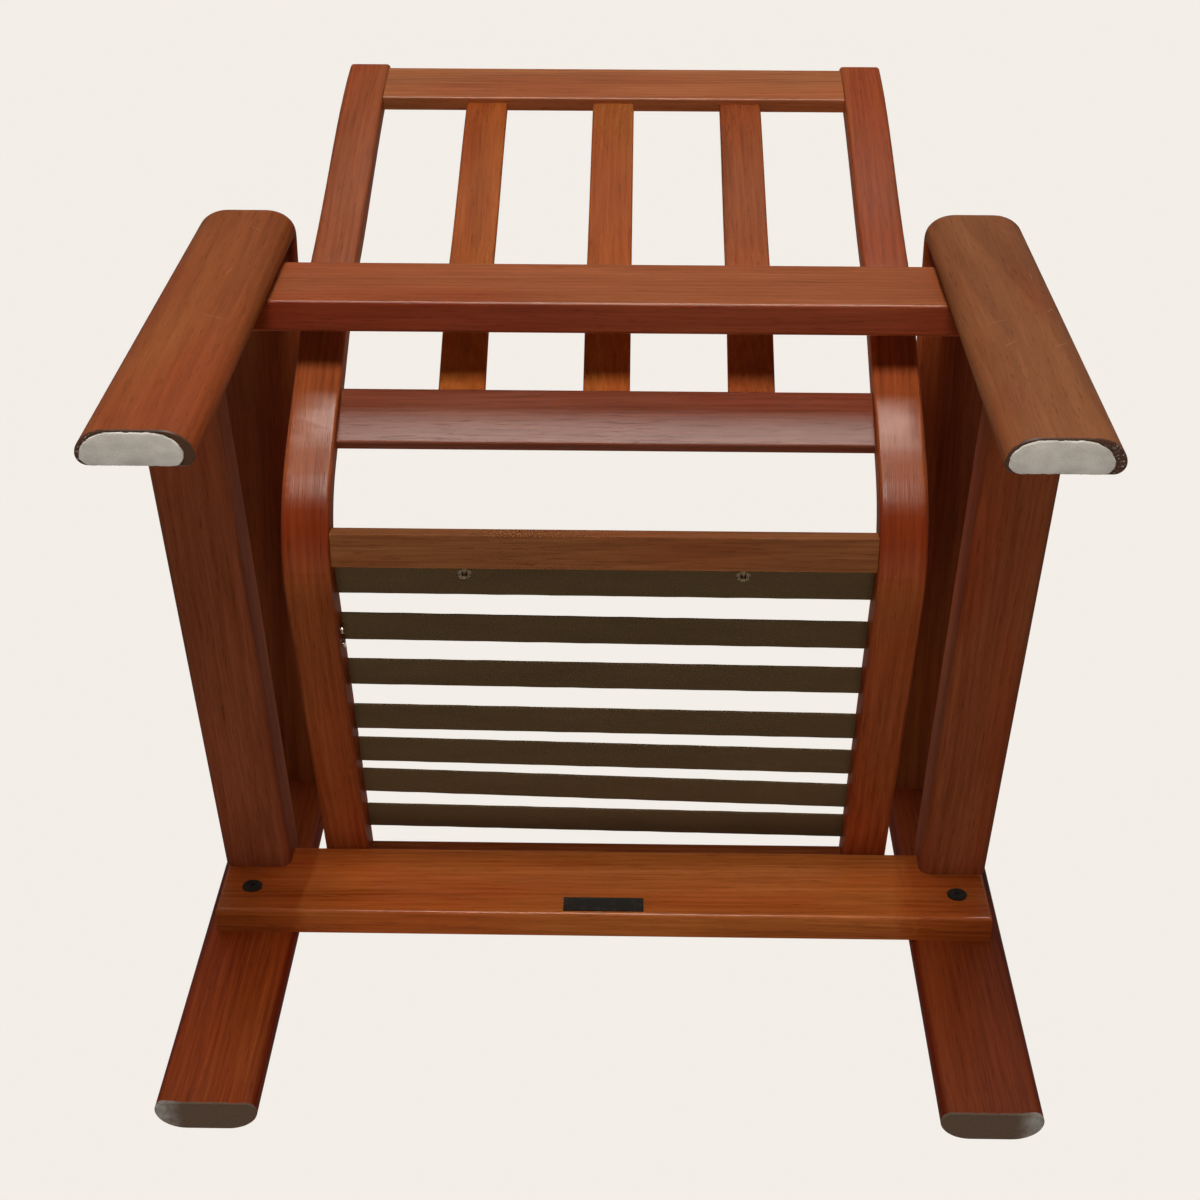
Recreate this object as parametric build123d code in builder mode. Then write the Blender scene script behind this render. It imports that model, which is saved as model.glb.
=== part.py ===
"""Wooden easy chair frame without cushions: two arched sides, two cross rails and a bent seat frame.

Frame: +Z up, front of the chair towards -Y, the sitter's left towards +X, floor at Z = 0.
All sizes in millimetres.
"""

import math
import os

from build123d import *

# Overall sizes
CHAIR_WIDTH = 740.0
ARM_UNDERSIDE_Z = 490.0
FRONT_FLAT_Y = -315.0
REAR_FLAT_Y = 265.0

# D-shaped section shared by legs and armrests, flat face inwards
SECTION_W = 86.0
SECTION_T = 28.0
SECTION_FLAT_R = 9.0
SECTION_CROWN_W = 26.0
FOOT_CHAMFER = 1.0

# Felt pads under the rear feet
FELT_T = 3.0
FELT_END_INSET = 5.5
FELT_FACE_INSET = 1.2
FELT_SHIFT = {"left": 2.0, "right": 3.0}

# Cross rails, lying against the flat faces of the legs
RAIL_END_INSET = 13.0
RAIL_H = 100.0
RAIL_T = 25.0
REAR_RAIL_T = 27.5
RAIL_R = 3.0
FRONT_RAIL_Z = 235.0
REAR_RAIL_TOP_Z = 437.0
CONTACT_GAP = 0.05
LEAN_GAP = 0.17

# Side rails, rising to the front between the legs
SIDE_RAIL_OUTER_INSET = 10.0
SIDE_RAIL_W = 62.0
SIDE_RAIL_H = 52.0
SIDE_RAIL_REAR_Z = 140.5
SIDE_RAIL_FRONT_Z = 311.0
SIDE_RAIL_LOWER_R = 10.0
SIDE_RAIL_UPPER_R = 5.0

# Connector bolts with threaded inserts
BOLT_END_INSET = 28.0
FRONT_BOLT_Z = 272.0
BOLT_D = 8.0
BOLT_HEAD_D = 18.0
BOLT_HEAD_H = 2.4
BOLT_SINK = 1.6
BOLT_SINK_D = 19.0
BOLT_SOCKET_AF = 5.0
BOLT_SOCKET_DEPTH = 1.8
BOLT_CLEARANCE = 0.3
BOLT_IN_LEG = 13.0
INSERT_D = 11.0
INSERT_L = 15.0
INSERT_END_ROOM = 2.0

# Dowels between side rails and legs, tongues in the mitres
DOWEL_D = 8.0
DOWEL_IN_LEG = 16.0
DOWEL_IN_RAIL = 20.0
DOWEL_SPACING = 30.0
FRONT_DOWEL_Z = 352.5
FRONT_DOWEL_IN_RAIL = 12.0
TONGUE_T = 4.0
TONGUE_END_ROOM = 20.0
TONGUE_L = 16.0

# Blank plate on the front rail
PLATE_W = 74.0
PLATE_H = 20.0
PLATE_T = 1.2
PLATE_ABOVE_EDGE = 4.0

# Bent seat frame: rear and lower edge line, from the top of the back to the seat front
BACK_LINE = [
    (344.4, 816.0),
    (305.0, 646.0),
    (265.0, 516.0),
    (242.4, 437.0),
    (198.0, 349.0),
    (160.0, 277.0),
    (122.0, 232.0),
    (81.0, 216.0),
    (37.0, 222.0),
]
SEAT_LINE_FRONT = (-343.0, 354.5)
BACK_TOP_TANGENT = (-0.11, -1.0)
FRAME_SIDE_ROOM = 101.5
MEMBER_W = 40.5
MEMBER_R = 3.5
MEMBER_TOP_R = 5.0
MEMBER_STATIONS = 14
# Thickness of the bent members at lengths along the edge line
MEMBER_THICKNESS = [
    (0.0, 20.0),
    (158.0, 22.0),
    (308.0, 23.0),
    (458.0, 24.5),
    (568.0, 25.5),
    (628.0, 27.0),
    (678.0, 32.0),
    (718.0, 34.0),
    (2000.0, 34.0),
]

# Rails and slats of the seat frame, placed by length along the edge line and depth from it
TOP_RAIL_START = 11.5
TOP_RAIL_W = 68.5
TOP_RAIL_DEPTH = (0.5, 15.0)
LOWER_RAIL_START = 501.0
LOWER_RAIL_W = 60.0
LOWER_RAIL_DEPTH = (12.0, 23.0)
SEAT_REAR_RAIL_FRONT_Y = 72.5
SEAT_REAR_RAIL_W = 30.5
SEAT_REAR_RAIL_LOW_Z = 222.5
SEAT_REAR_RAIL_T = 17.5
SEAT_REAR_RAIL_R = 5.5
SEAT_FRONT_RAIL_INSET = 10.0
SEAT_FRONT_RAIL_W = 24.0
SEAT_FRONT_RAIL_DEPTH = (4.0, 26.0)
FRAME_RAIL_R = 2.0
RAIL_STEPS = 4
FRAME_DOWEL_D = 6.0
FRAME_DOWEL_L = 28.0
FRAME_DOWEL_SHARE = 0.26
SLAT_W = 40.5
SLAT_SPACING = 125.0
SLAT_T = 7.5
SLAT_TOP_DEPTH = 5.8
SLAT_LOW_DEPTH = 13.6
SLAT_HOUSING = 9.0
SLAT_R = 2.0
SLAT_STEPS = 16

# Webbing straps with end clips in pockets of the members, each fixed a little askew
STRAP_CENTRES = [719.5, 781.6, 842.2, 905.6, 955.7, 1004.7, 1055.4]
STRAP_SKEWS = [0.3, 0.7, 0.7, 0.9, 1.5, 2.1, 1.2]
STRAP_W = 34.0
STRAP_T = 2.4
STRAP_DEPTH = 28.0
POCKET_DEPTH = 11.0
CLIP_T = 5.4
CLIP_L = 9.0
CLIP_WALL = 0.9
STRAP_ROOM = 0.3

# Press studs on the seat rear rail and small screws in the left member
STUD_X = 117.0
STUD_ABOVE_EDGE = 5.5
STUD_SHANK_D = 5.0
STUD_SHANK_L = 7.0
STUD_HEAD_D = 12.0
STUD_HEAD_H = 3.0
STUD_HEAD_R = 1.8
STUD_IN_RAIL = 10.0
PIN_LENGTHS = [774.0, 792.0]
PIN_DEPTH = 18.0
PIN_HEAD_D = 6.0
PIN_HEAD_H = 2.0
PIN_D = 3.0
PIN_L = 14.0

# Screws holding the seat frame to the cross rails
FIX_D = 5.0
FIX_HEAD_D = 10.0
FIX_HEAD_H = 4.0
FIX_HEAD_SINK = 0.4
FIX_IN_RAIL = 22.0
FIX_SEAT_INSET = 40.0
FIX_BACK_BELOW_TOP = 3.0

# Derived positions
HALF_W = CHAIR_WIDTH / 2
RAIL_LENGTH = CHAIR_WIDTH - 2 * RAIL_END_INSET
BOLT_X = RAIL_LENGTH / 2 - BOLT_END_INSET
SIDE_RAIL_INNER_X = HALF_W - SIDE_RAIL_OUTER_INSET - SIDE_RAIL_W
FRAME_OUTER_X = HALF_W - FRAME_SIDE_ROOM
SECTION_X = HALF_W - SECTION_W / 2
TONGUE_W = SECTION_W - 2 * TONGUE_END_ROOM
FRONT_RAIL_FACE_Y = FRONT_FLAT_Y + RAIL_T
REAR_RAIL_FACE_Y = REAR_FLAT_Y - REAR_RAIL_T
REAR_RAIL_Z = REAR_RAIL_TOP_Z - RAIL_H
REAR_BOLT_Z = REAR_RAIL_Z + RAIL_H / 2
MEMBER_INNER_X = FRAME_OUTER_X - MEMBER_W
MEMBER_X = FRAME_OUTER_X - MEMBER_W / 2
TOP_RAIL_SPAN = (TOP_RAIL_START, TOP_RAIL_START + TOP_RAIL_W)
LOWER_RAIL_SPAN = (LOWER_RAIL_START, LOWER_RAIL_START + LOWER_RAIL_W)
SEAT_REAR_RAIL_Y = (SEAT_REAR_RAIL_FRONT_Y, SEAT_REAR_RAIL_FRONT_Y + SEAT_REAR_RAIL_W)
SEAT_REAR_RAIL_Z = (SEAT_REAR_RAIL_LOW_Z, SEAT_REAR_RAIL_LOW_Z + SEAT_REAR_RAIL_T)
STUD_Z = SEAT_REAR_RAIL_LOW_Z + STUD_ABOVE_EDGE
SIDES = {"left": 1, "right": -1}
BASE = (Align.CENTER, Align.CENTER, Align.MIN)
SEARCH_STEPS = 60

os.makedirs("parts", exist_ok=True)


def save(part: Part, label: str) -> None:
    """Label a finished piece and write its STEP file."""
    part.label = label
    export_step(part, f"parts/{label}.step")


# Edge line of the seat frame, drawn in the YZ plane
seat_rise = (Vector(*SEAT_LINE_FRONT) - Vector(*BACK_LINE[-1])).normalized()
with BuildLine(Plane.YZ) as frame_line:
    Spline(*BACK_LINE, tangents=(BACK_TOP_TANGENT, (seat_rise.X, seat_rise.Y)))
    Line(BACK_LINE[-1], SEAT_LINE_FRONT)
frame_wire = frame_line.wire()
FRAME_LENGTH = frame_wire.length
SEAT_FRONT_RAIL_END = FRAME_LENGTH - SEAT_FRONT_RAIL_INSET
SEAT_FRONT_RAIL_SPAN = (SEAT_FRONT_RAIL_END - SEAT_FRONT_RAIL_W, SEAT_FRONT_RAIL_END)


def edge_normal(length: float) -> Vector:
    """Unit vector from the edge line towards the sitter at a length along the line."""
    tangent = frame_wire.tangent_at(length, position_mode=PositionMode.LENGTH)
    return Vector(0, tangent.Z, -tangent.Y)


def edge_point(length: float, depth: float) -> Vector:
    """Point at a length along the edge line, moved by depth towards the sitter."""
    on_line = frame_wire.position_at(length, position_mode=PositionMode.LENGTH)
    return on_line + edge_normal(length) * depth


def edge_plane(length: float, depth: float, x: float) -> Plane:
    """Plane facing the sitter at a place on the edge line, with its x along the chair's width."""
    point = edge_point(length, depth)
    return Plane(origin=(x, point.Y, point.Z), x_dir=(1, 0, 0), z_dir=edge_normal(length))


def member_thickness(length: float) -> float:
    """Thickness of the bent members at a length along the edge line."""
    for (low, low_t), (high, high_t) in zip(MEMBER_THICKNESS, MEMBER_THICKNESS[1:]):
        if length <= high:
            share = (length - low) / (high - low)
            return low_t + (high_t - low_t) * (3 - 2 * share) * share * share
    return MEMBER_THICKNESS[-1][1]


def back_length(coordinate, value: float) -> float:
    """Length along the edge line where a coordinate of the back, falling from the top, has a value."""
    low, high = 0.0, FRAME_LENGTH / 2
    for _ in range(SEARCH_STEPS):
        middle = (low + high) / 2
        if coordinate(edge_point(middle, 0)) > value:
            low = middle
        else:
            high = middle
    return low


def length_at_height(z: float) -> float:
    """Length along the edge line where the back has a height."""
    return back_length(lambda point: point.Z, z)


def length_at_back(y: float) -> float:
    """Length along the edge line where the back has a y position."""
    return back_length(lambda point: point.Y, y)


def seat_line_z(y: float) -> float:
    """Height of the straight seat part of the edge line at a y position."""
    return SEAT_LINE_FRONT[1] + (y - SEAT_LINE_FRONT[0]) * seat_rise.Y / seat_rise.X


def slat_rear(length: float) -> float:
    """Depth of the rear faces of the slats at a length along the edge line."""
    share = (length - TOP_RAIL_SPAN[1]) / (LOWER_RAIL_SPAN[0] - TOP_RAIL_SPAN[1])
    return SLAT_TOP_DEPTH + (SLAT_LOW_DEPTH - SLAT_TOP_DEPTH) * share


def slat_front(length: float) -> float:
    """Depth of the front faces of the slats at a length along the edge line."""
    return slat_rear(length) + SLAT_T


def steady(depth: float):
    """Depth that stays the same along the edge line."""
    return lambda length: depth


def band(span: tuple, rear, front, x: float, width: float, steps: int) -> BuildPart:
    """Piece that follows the edge line over a span, between two depths, from x over a width."""
    lengths = [span[0] + (span[1] - span[0]) * i / steps for i in range(steps + 1)]
    rear_points = [edge_point(length, rear(length)) for length in lengths]
    front_points = [edge_point(length, front(length)) for length in reversed(lengths)]
    with BuildPart() as piece:
        with BuildSketch(Plane.YZ.offset(x)):
            with BuildLine():
                rear_edge = Spline(*[(point.Y, point.Z) for point in rear_points])
                front_edge = Spline(*[(point.Y, point.Z) for point in front_points])
                Line(rear_edge @ 1, front_edge @ 0)
                Line(front_edge @ 1, rear_edge @ 0)
            make_face()
        extrude(amount=width)
    return piece


def section(end_inset: float, face_inset: float) -> Sketch:
    """D-shaped section with its flat side on the local x axis, drawn smaller by insets."""
    half = SECTION_W / 2 - end_inset
    top = SECTION_T - face_inset
    flat_half = half - SECTION_FLAT_R
    flat_h = SECTION_FLAT_R - face_inset
    crown_half = half - SECTION_CROWN_W
    crown_h = top - SECTION_FLAT_R
    with BuildSketch() as outline:
        with BuildLine():
            Line((-flat_half, face_inset), (flat_half, face_inset))
            EllipticalCenterArc((flat_half, SECTION_FLAT_R), SECTION_FLAT_R, flat_h, start_angle=-90)
            EllipticalCenterArc((crown_half, SECTION_FLAT_R), SECTION_CROWN_W, crown_h)
            Line((crown_half, top), (-crown_half, top))
            EllipticalCenterArc((-crown_half, SECTION_FLAT_R), SECTION_CROWN_W, crown_h, start_angle=90)
            EllipticalCenterArc((-flat_half, SECTION_FLAT_R), SECTION_FLAT_R, flat_h, start_angle=180)
        make_face()
    return outline.sketch


def save_pair(left: BuildPart, name: str) -> None:
    """Save a left piece and its mirror image on the right."""
    save(left.part, f"left_{name}")
    with BuildPart() as right:
        mirror(left.part, about=Plane.YZ)
    save(right.part, f"right_{name}")


def bolt_places(face_y: float, z: float, direction: int) -> list:
    """Planes of both bolts of a rail, on its inner face and pointing into the leg."""
    into_leg = (0, direction, 0)
    return [Plane(origin=(x, face_y, z), x_dir=(1, 0, 0), z_dir=into_leg) for x in (BOLT_X, -BOLT_X)]


def dowel_places(y: float, z: float, direction: int) -> list:
    """Planes of the two dowels at one end of the left side rail, pointing into the leg."""
    middle = SIDE_RAIL_INNER_X + SIDE_RAIL_W / 2
    offsets = (-DOWEL_SPACING / 2, DOWEL_SPACING / 2)
    return [Plane(origin=(middle + x, y, z), x_dir=(1, 0, 0), z_dir=(0, direction, 0)) for x in offsets]


def tongue_plane(flat_y: float, direction: int) -> Plane:
    """Plane of the tongue in a mitre: local x along the width, local z across the joint."""
    half = SECTION_T / 2 * math.sin(math.radians(45))
    origin = (SECTION_X, flat_y + direction * half, ARM_UNDERSIDE_Z + half)
    return Plane(origin=origin, x_dir=(1, 0, 0), z_dir=(0, direction, -1))


front_bolt_places = bolt_places(FRONT_RAIL_FACE_Y, FRONT_BOLT_Z, -1)
rear_bolt_places = bolt_places(REAR_RAIL_FACE_Y, REAR_BOLT_Z, 1)
front_tongue = tongue_plane(FRONT_FLAT_Y, -1)
rear_tongue = tongue_plane(REAR_FLAT_Y, 1)
strap_planes = [
    edge_plane(length, STRAP_DEPTH, 0).rotated((0, 0, skew)) for length, skew in zip(STRAP_CENTRES, STRAP_SKEWS)
]
insert_depth = INSERT_L + INSERT_END_ROOM
pocket_end_x = MEMBER_INNER_X + POCKET_DEPTH
clip_end_x = pocket_end_x - STRAP_ROOM

# Loose tongues inside the four mitres
with BuildPart() as corner_tongues:
    with Locations(front_tongue, rear_tongue):
        Box(TONGUE_W, TONGUE_T, TONGUE_L)
    mirror(about=Plane.YZ)
save(corner_tongues.part, "corner_tongues")

# Dowels between the side rails and the legs
with BuildPart() as side_rail_dowels:
    with Locations(*dowel_places(REAR_FLAT_Y - DOWEL_IN_RAIL, SIDE_RAIL_REAR_Z + SIDE_RAIL_H / 2, 1)):
        Cylinder(DOWEL_D / 2, DOWEL_IN_RAIL + DOWEL_IN_LEG, align=BASE)
    with Locations(*dowel_places(FRONT_FLAT_Y + FRONT_DOWEL_IN_RAIL, FRONT_DOWEL_Z, -1)):
        Cylinder(DOWEL_D / 2, FRONT_DOWEL_IN_RAIL + DOWEL_IN_LEG, align=BASE)
    mirror(about=Plane.YZ)
save(side_rail_dowels.part, "side_rail_dowels")

# Dowels between the rails of the seat frame and its members
seat_rear_middle_z = sum(SEAT_REAR_RAIL_Z) / 2
frame_dowel_points = []
for share in (FRAME_DOWEL_SHARE, 1 - FRAME_DOWEL_SHARE):
    for start, width, depth in (
        (TOP_RAIL_SPAN[0], TOP_RAIL_W, TOP_RAIL_DEPTH),
        (LOWER_RAIL_SPAN[0], LOWER_RAIL_W, LOWER_RAIL_DEPTH),
        (SEAT_FRONT_RAIL_SPAN[0], SEAT_FRONT_RAIL_W, SEAT_FRONT_RAIL_DEPTH),
    ):
        frame_dowel_points.append(edge_point(start + share * width, sum(depth) / 2))
    dowel_y = SEAT_REAR_RAIL_FRONT_Y + share * SEAT_REAR_RAIL_W
    frame_dowel_points.append(Vector(0, dowel_y, seat_rear_middle_z))
with BuildPart() as frame_dowels:
    for point in frame_dowel_points:
        joint = (MEMBER_INNER_X, point.Y, point.Z)
        with Locations(Plane(origin=joint, x_dir=(0, 1, 0), z_dir=(1, 0, 0))):
            Cylinder(FRAME_DOWEL_D / 2, FRAME_DOWEL_L)
    mirror(about=Plane.YZ)
save(frame_dowels.part, "frame_dowels")

# Screws that hold the seat frame to the front rail and the rear rail
fix_seat_length = FRAME_LENGTH - FIX_SEAT_INSET
fix_back_length = length_at_height(REAR_RAIL_TOP_Z - FIX_BACK_BELOW_TOP)
with BuildPart() as frame_screws:
    for length in (fix_seat_length, fix_back_length):
        head_depth = member_thickness(length) - FIX_HEAD_SINK - FIX_HEAD_H
        with Locations(edge_plane(length, -FIX_IN_RAIL, MEMBER_X)):
            Cylinder(FIX_D / 2, FIX_IN_RAIL + head_depth + FIX_HEAD_H / 2, align=BASE)
        with Locations(edge_plane(length, head_depth, MEMBER_X)):
            Cone(FIX_D / 2, FIX_HEAD_D / 2, FIX_HEAD_H, align=BASE)
    mirror(about=Plane.YZ)
save(frame_screws.part, "frame_screws")

# Front leg: flat face to the rear, upper end mitred through the rounded corner
front_foot = Plane(origin=(SECTION_X, FRONT_FLAT_Y, 0), x_dir=(-1, 0, 0), z_dir=(0, 0, 1))
with BuildPart() as front_leg:
    with BuildSketch(front_foot):
        add(section(0, 0))
    extrude(amount=ARM_UNDERSIDE_Z)
    chamfer(front_leg.faces().sort_by(Axis.Z)[0].edges(), FOOT_CHAMFER)
    with BuildSketch(front_foot.offset(ARM_UNDERSIDE_Z)):
        add(section(0, 0))
    revolve(axis=Axis((0, FRONT_FLAT_Y, ARM_UNDERSIDE_Z), (-1, 0, 0)), revolution_arc=45)
    with Locations(front_bolt_places[0].offset(RAIL_T)):
        Cylinder(INSERT_D / 2, insert_depth, align=BASE, mode=Mode.SUBTRACT)
    add(side_rail_dowels.part, mode=Mode.SUBTRACT)
    add(corner_tongues.part, mode=Mode.SUBTRACT)
save_pair(front_leg, "front_leg")

# Rear leg: flat face to the front, standing on a felt pad
rear_foot = Plane(origin=(SECTION_X, REAR_FLAT_Y, FELT_T), x_dir=(1, 0, 0), z_dir=(0, 0, 1))
with BuildPart() as rear_leg:
    with BuildSketch(rear_foot):
        add(section(0, 0))
    extrude(amount=ARM_UNDERSIDE_Z - FELT_T)
    chamfer(rear_leg.faces().sort_by(Axis.Z)[0].edges(), FOOT_CHAMFER)
    with BuildSketch(rear_foot.offset(ARM_UNDERSIDE_Z - FELT_T)):
        add(section(0, 0))
    revolve(axis=Axis((0, REAR_FLAT_Y, ARM_UNDERSIDE_Z), (1, 0, 0)), revolution_arc=45)
    with Locations(rear_bolt_places[0].offset(REAR_RAIL_T)):
        Cylinder(INSERT_D / 2, insert_depth, align=BASE, mode=Mode.SUBTRACT)
    add(side_rail_dowels.part, mode=Mode.SUBTRACT)
    add(corner_tongues.part, mode=Mode.SUBTRACT)
save_pair(rear_leg, "rear_leg")

# Armrest: flat face down, both ends mitred through the rounded corners
arm_rear = Plane(origin=(SECTION_X, REAR_FLAT_Y, ARM_UNDERSIDE_Z), x_dir=(1, 0, 0), z_dir=(0, -1, 0))
arm_length = REAR_FLAT_Y - FRONT_FLAT_Y
with BuildPart() as armrest:
    with BuildSketch(arm_rear):
        add(section(0, 0))
    extrude(amount=arm_length)
    with BuildSketch(arm_rear):
        add(section(0, 0))
    revolve(axis=Axis((0, REAR_FLAT_Y, ARM_UNDERSIDE_Z), (-1, 0, 0)), revolution_arc=45)
    with BuildSketch(arm_rear.offset(arm_length)):
        add(section(0, 0))
    revolve(axis=Axis((0, FRONT_FLAT_Y, ARM_UNDERSIDE_Z), (1, 0, 0)), revolution_arc=45)
    add(corner_tongues.part, mode=Mode.SUBTRACT)
save_pair(armrest, "armrest")

# Felt pads under the rear feet, each glued on a little off the middle
for side, sign in SIDES.items():
    pad_x = sign * SECTION_X + FELT_SHIFT[side]
    with BuildPart() as felt_pad:
        with BuildSketch(Plane(origin=(pad_x, REAR_FLAT_Y, 0), x_dir=(1, 0, 0), z_dir=(0, 0, 1))):
            add(section(FELT_END_INSET, FELT_FACE_INSET))
        extrude(amount=FELT_T)
    save(felt_pad.part, f"{side}_felt_pad")


def front_rail_profile(x: float) -> Sketch:
    """Square-edged outline of the front rail at x, its upper edge planed to the slope of the seat."""
    with BuildSketch(Plane.YZ.offset(x)) as outline:
        with BuildLine():
            Polyline(
                (FRONT_FLAT_Y, FRONT_RAIL_Z),
                (FRONT_RAIL_FACE_Y, FRONT_RAIL_Z),
                (FRONT_RAIL_FACE_Y, seat_line_z(FRONT_RAIL_FACE_Y) - CONTACT_GAP),
                (FRONT_FLAT_Y, seat_line_z(FRONT_FLAT_Y) - CONTACT_GAP),
                close=True,
            )
        make_face()
    return outline.sketch


# Front cross rail
with BuildPart() as front_rail:
    extrude(front_rail_profile(-RAIL_LENGTH / 2), amount=RAIL_LENGTH)
    fillet(front_rail.faces().sort_by(Axis.Y)[-1].edges(), RAIL_R)
    with Locations(*front_bolt_places):
        Cylinder(BOLT_D / 2 + BOLT_CLEARANCE, RAIL_T, align=BASE, mode=Mode.SUBTRACT)
        Cylinder(BOLT_SINK_D / 2, BOLT_SINK, align=BASE, mode=Mode.SUBTRACT)
    add(frame_screws.part, mode=Mode.SUBTRACT)
save(front_rail.part, "front_rail")

# Rear cross rail: upper front edge planed to the lean of the back
lean_top = edge_point(length_at_height(REAR_RAIL_TOP_Z), -LEAN_GAP)
lean_low = edge_point(length_at_back(REAR_RAIL_FACE_Y), -LEAN_GAP)
with BuildPart() as rear_rail:
    with BuildSketch(Plane.YZ.offset(-RAIL_LENGTH / 2)):
        with BuildLine():
            Polyline(
                (REAR_FLAT_Y, REAR_RAIL_Z),
                (REAR_FLAT_Y, REAR_RAIL_TOP_Z),
                (lean_top.Y, REAR_RAIL_TOP_Z),
                (REAR_RAIL_FACE_Y, lean_low.Z),
                (REAR_RAIL_FACE_Y, REAR_RAIL_Z),
                close=True,
            )
        make_face()
    extrude(amount=RAIL_LENGTH)
    height_groups = rear_rail.edges().filter_by(Axis.X).group_by(Axis.Z)
    fillet(height_groups[0] + height_groups[-1].sort_by(Axis.Y)[-1:], RAIL_R)
    with Locations(*rear_bolt_places):
        Cylinder(BOLT_D / 2 + BOLT_CLEARANCE, REAR_RAIL_T, align=BASE, mode=Mode.SUBTRACT)
        Cylinder(BOLT_SINK_D / 2, BOLT_SINK, align=BASE, mode=Mode.SUBTRACT)
    add(frame_screws.part, mode=Mode.SUBTRACT)
save(rear_rail.part, "rear_rail")


def bolts(places: list, rail_t: float) -> BuildPart:
    """Pair of connector bolts with hexagon sockets, heads sunk into a rail of a thickness."""
    socket_r = BOLT_SOCKET_AF / 2
    with BuildPart() as pair:
        with Locations(*[place.offset(BOLT_SINK - BOLT_HEAD_H) for place in places]):
            Cylinder(BOLT_HEAD_D / 2, BOLT_HEAD_H, align=BASE)
        with Locations(*[place.offset(BOLT_SINK) for place in places]):
            Cylinder(BOLT_D / 2, rail_t - BOLT_SINK + BOLT_IN_LEG, align=BASE)
        for place in places:
            with BuildSketch(place.offset(BOLT_SINK - BOLT_HEAD_H)):
                RegularPolygon(socket_r, 6, major_radius=False)
            extrude(amount=BOLT_SOCKET_DEPTH, mode=Mode.SUBTRACT)
    return pair


save(bolts(front_bolt_places, RAIL_T).part, "front_rail_bolts")
save(bolts(rear_bolt_places, REAR_RAIL_T).part, "rear_rail_bolts")

# Threaded inserts in the legs
with BuildPart() as leg_inserts:
    front_inserts = [place.offset(RAIL_T) for place in front_bolt_places]
    rear_inserts = [place.offset(REAR_RAIL_T) for place in rear_bolt_places]
    for place in front_inserts + rear_inserts:
        with Locations(place):
            Cylinder(INSERT_D / 2, INSERT_L, align=BASE)
            Cylinder(BOLT_D / 2, INSERT_L, align=BASE, mode=Mode.SUBTRACT)
save(leg_inserts.part, "leg_inserts")

# Blank plate on the rear face of the front rail
with BuildPart() as blank_plate:
    plate_z = FRONT_RAIL_Z + PLATE_ABOVE_EDGE + PLATE_H / 2
    with Locations((0, FRONT_RAIL_FACE_Y + PLATE_T / 2, plate_z)):
        Box(PLATE_W, PLATE_T, PLATE_H)
save(blank_plate.part, "blank_plate")

# Side rail: rises to the front, its front end notched over the front rail
side_rail_rise = (SIDE_RAIL_FRONT_Z - SIDE_RAIL_REAR_Z) / (REAR_FLAT_Y - FRONT_FLAT_Y)
with BuildPart() as side_rail:
    with BuildSketch(Plane.YZ.offset(SIDE_RAIL_INNER_X)):
        with BuildLine():
            Polyline(
                (REAR_FLAT_Y, SIDE_RAIL_REAR_Z),
                (REAR_FLAT_Y, SIDE_RAIL_REAR_Z + SIDE_RAIL_H),
                (FRONT_FLAT_Y, SIDE_RAIL_FRONT_Z + SIDE_RAIL_H),
                (FRONT_FLAT_Y, SIDE_RAIL_FRONT_Z),
                close=True,
            )
        make_face()
    extrude(amount=SIDE_RAIL_W)
    lower_face = side_rail.faces().sort_by(Axis((0, 0, 0), (0, side_rail_rise, 1)))[0]
    upper_face = side_rail.faces().sort_by(Axis((0, 0, 0), (0, side_rail_rise, 1)))[-1]
    long_lower = lower_face.edges().filter_by(Axis.X, reverse=True)
    long_upper = upper_face.edges().filter_by(Axis.X, reverse=True)
    fillet(long_upper, SIDE_RAIL_UPPER_R)
    fillet(long_lower, SIDE_RAIL_LOWER_R)
    extrude(front_rail_profile(SIDE_RAIL_INNER_X), amount=SIDE_RAIL_W, mode=Mode.SUBTRACT)
    add(side_rail_dowels.part, mode=Mode.SUBTRACT)
save_pair(side_rail, "side_rail")

# Back slats, nearer the front faces of the members as they run down
slat_span = (TOP_RAIL_SPAN[1] - SLAT_HOUSING, LOWER_RAIL_SPAN[0] + SLAT_HOUSING)
slats = {}
for name, x in {"left": SLAT_SPACING, "middle": 0.0, "right": -SLAT_SPACING}.items():
    blank = band(slat_span, slat_rear, slat_front, x - SLAT_W / 2, SLAT_W, SLAT_STEPS)
    with BuildPart() as slat:
        add(blank.part)
        fillet(slat.edges().filter_by(GeomType.BSPLINE), SLAT_R)
    slats[name] = slat
    save(slat.part, f"{name}_slat")

# Cross rails of the seat frame
rail_length = 2 * MEMBER_INNER_X
rail_spans = {
    "back_top_rail": (TOP_RAIL_SPAN, TOP_RAIL_DEPTH),
    "back_lower_rail": (LOWER_RAIL_SPAN, LOWER_RAIL_DEPTH),
    "seat_front_rail": (SEAT_FRONT_RAIL_SPAN, SEAT_FRONT_RAIL_DEPTH),
}
for name, (span, depth) in rail_spans.items():
    blank = band(span, steady(depth[0]), steady(depth[1]), -MEMBER_INNER_X, rail_length, RAIL_STEPS)
    with BuildPart() as frame_rail:
        add(blank.part)
        fillet(frame_rail.edges().filter_by(Axis.X), FRAME_RAIL_R)
        for slat in slats.values():
            add(slat.part, mode=Mode.SUBTRACT)
        add(frame_dowels.part, mode=Mode.SUBTRACT)
    save(frame_rail.part, name)

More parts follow.
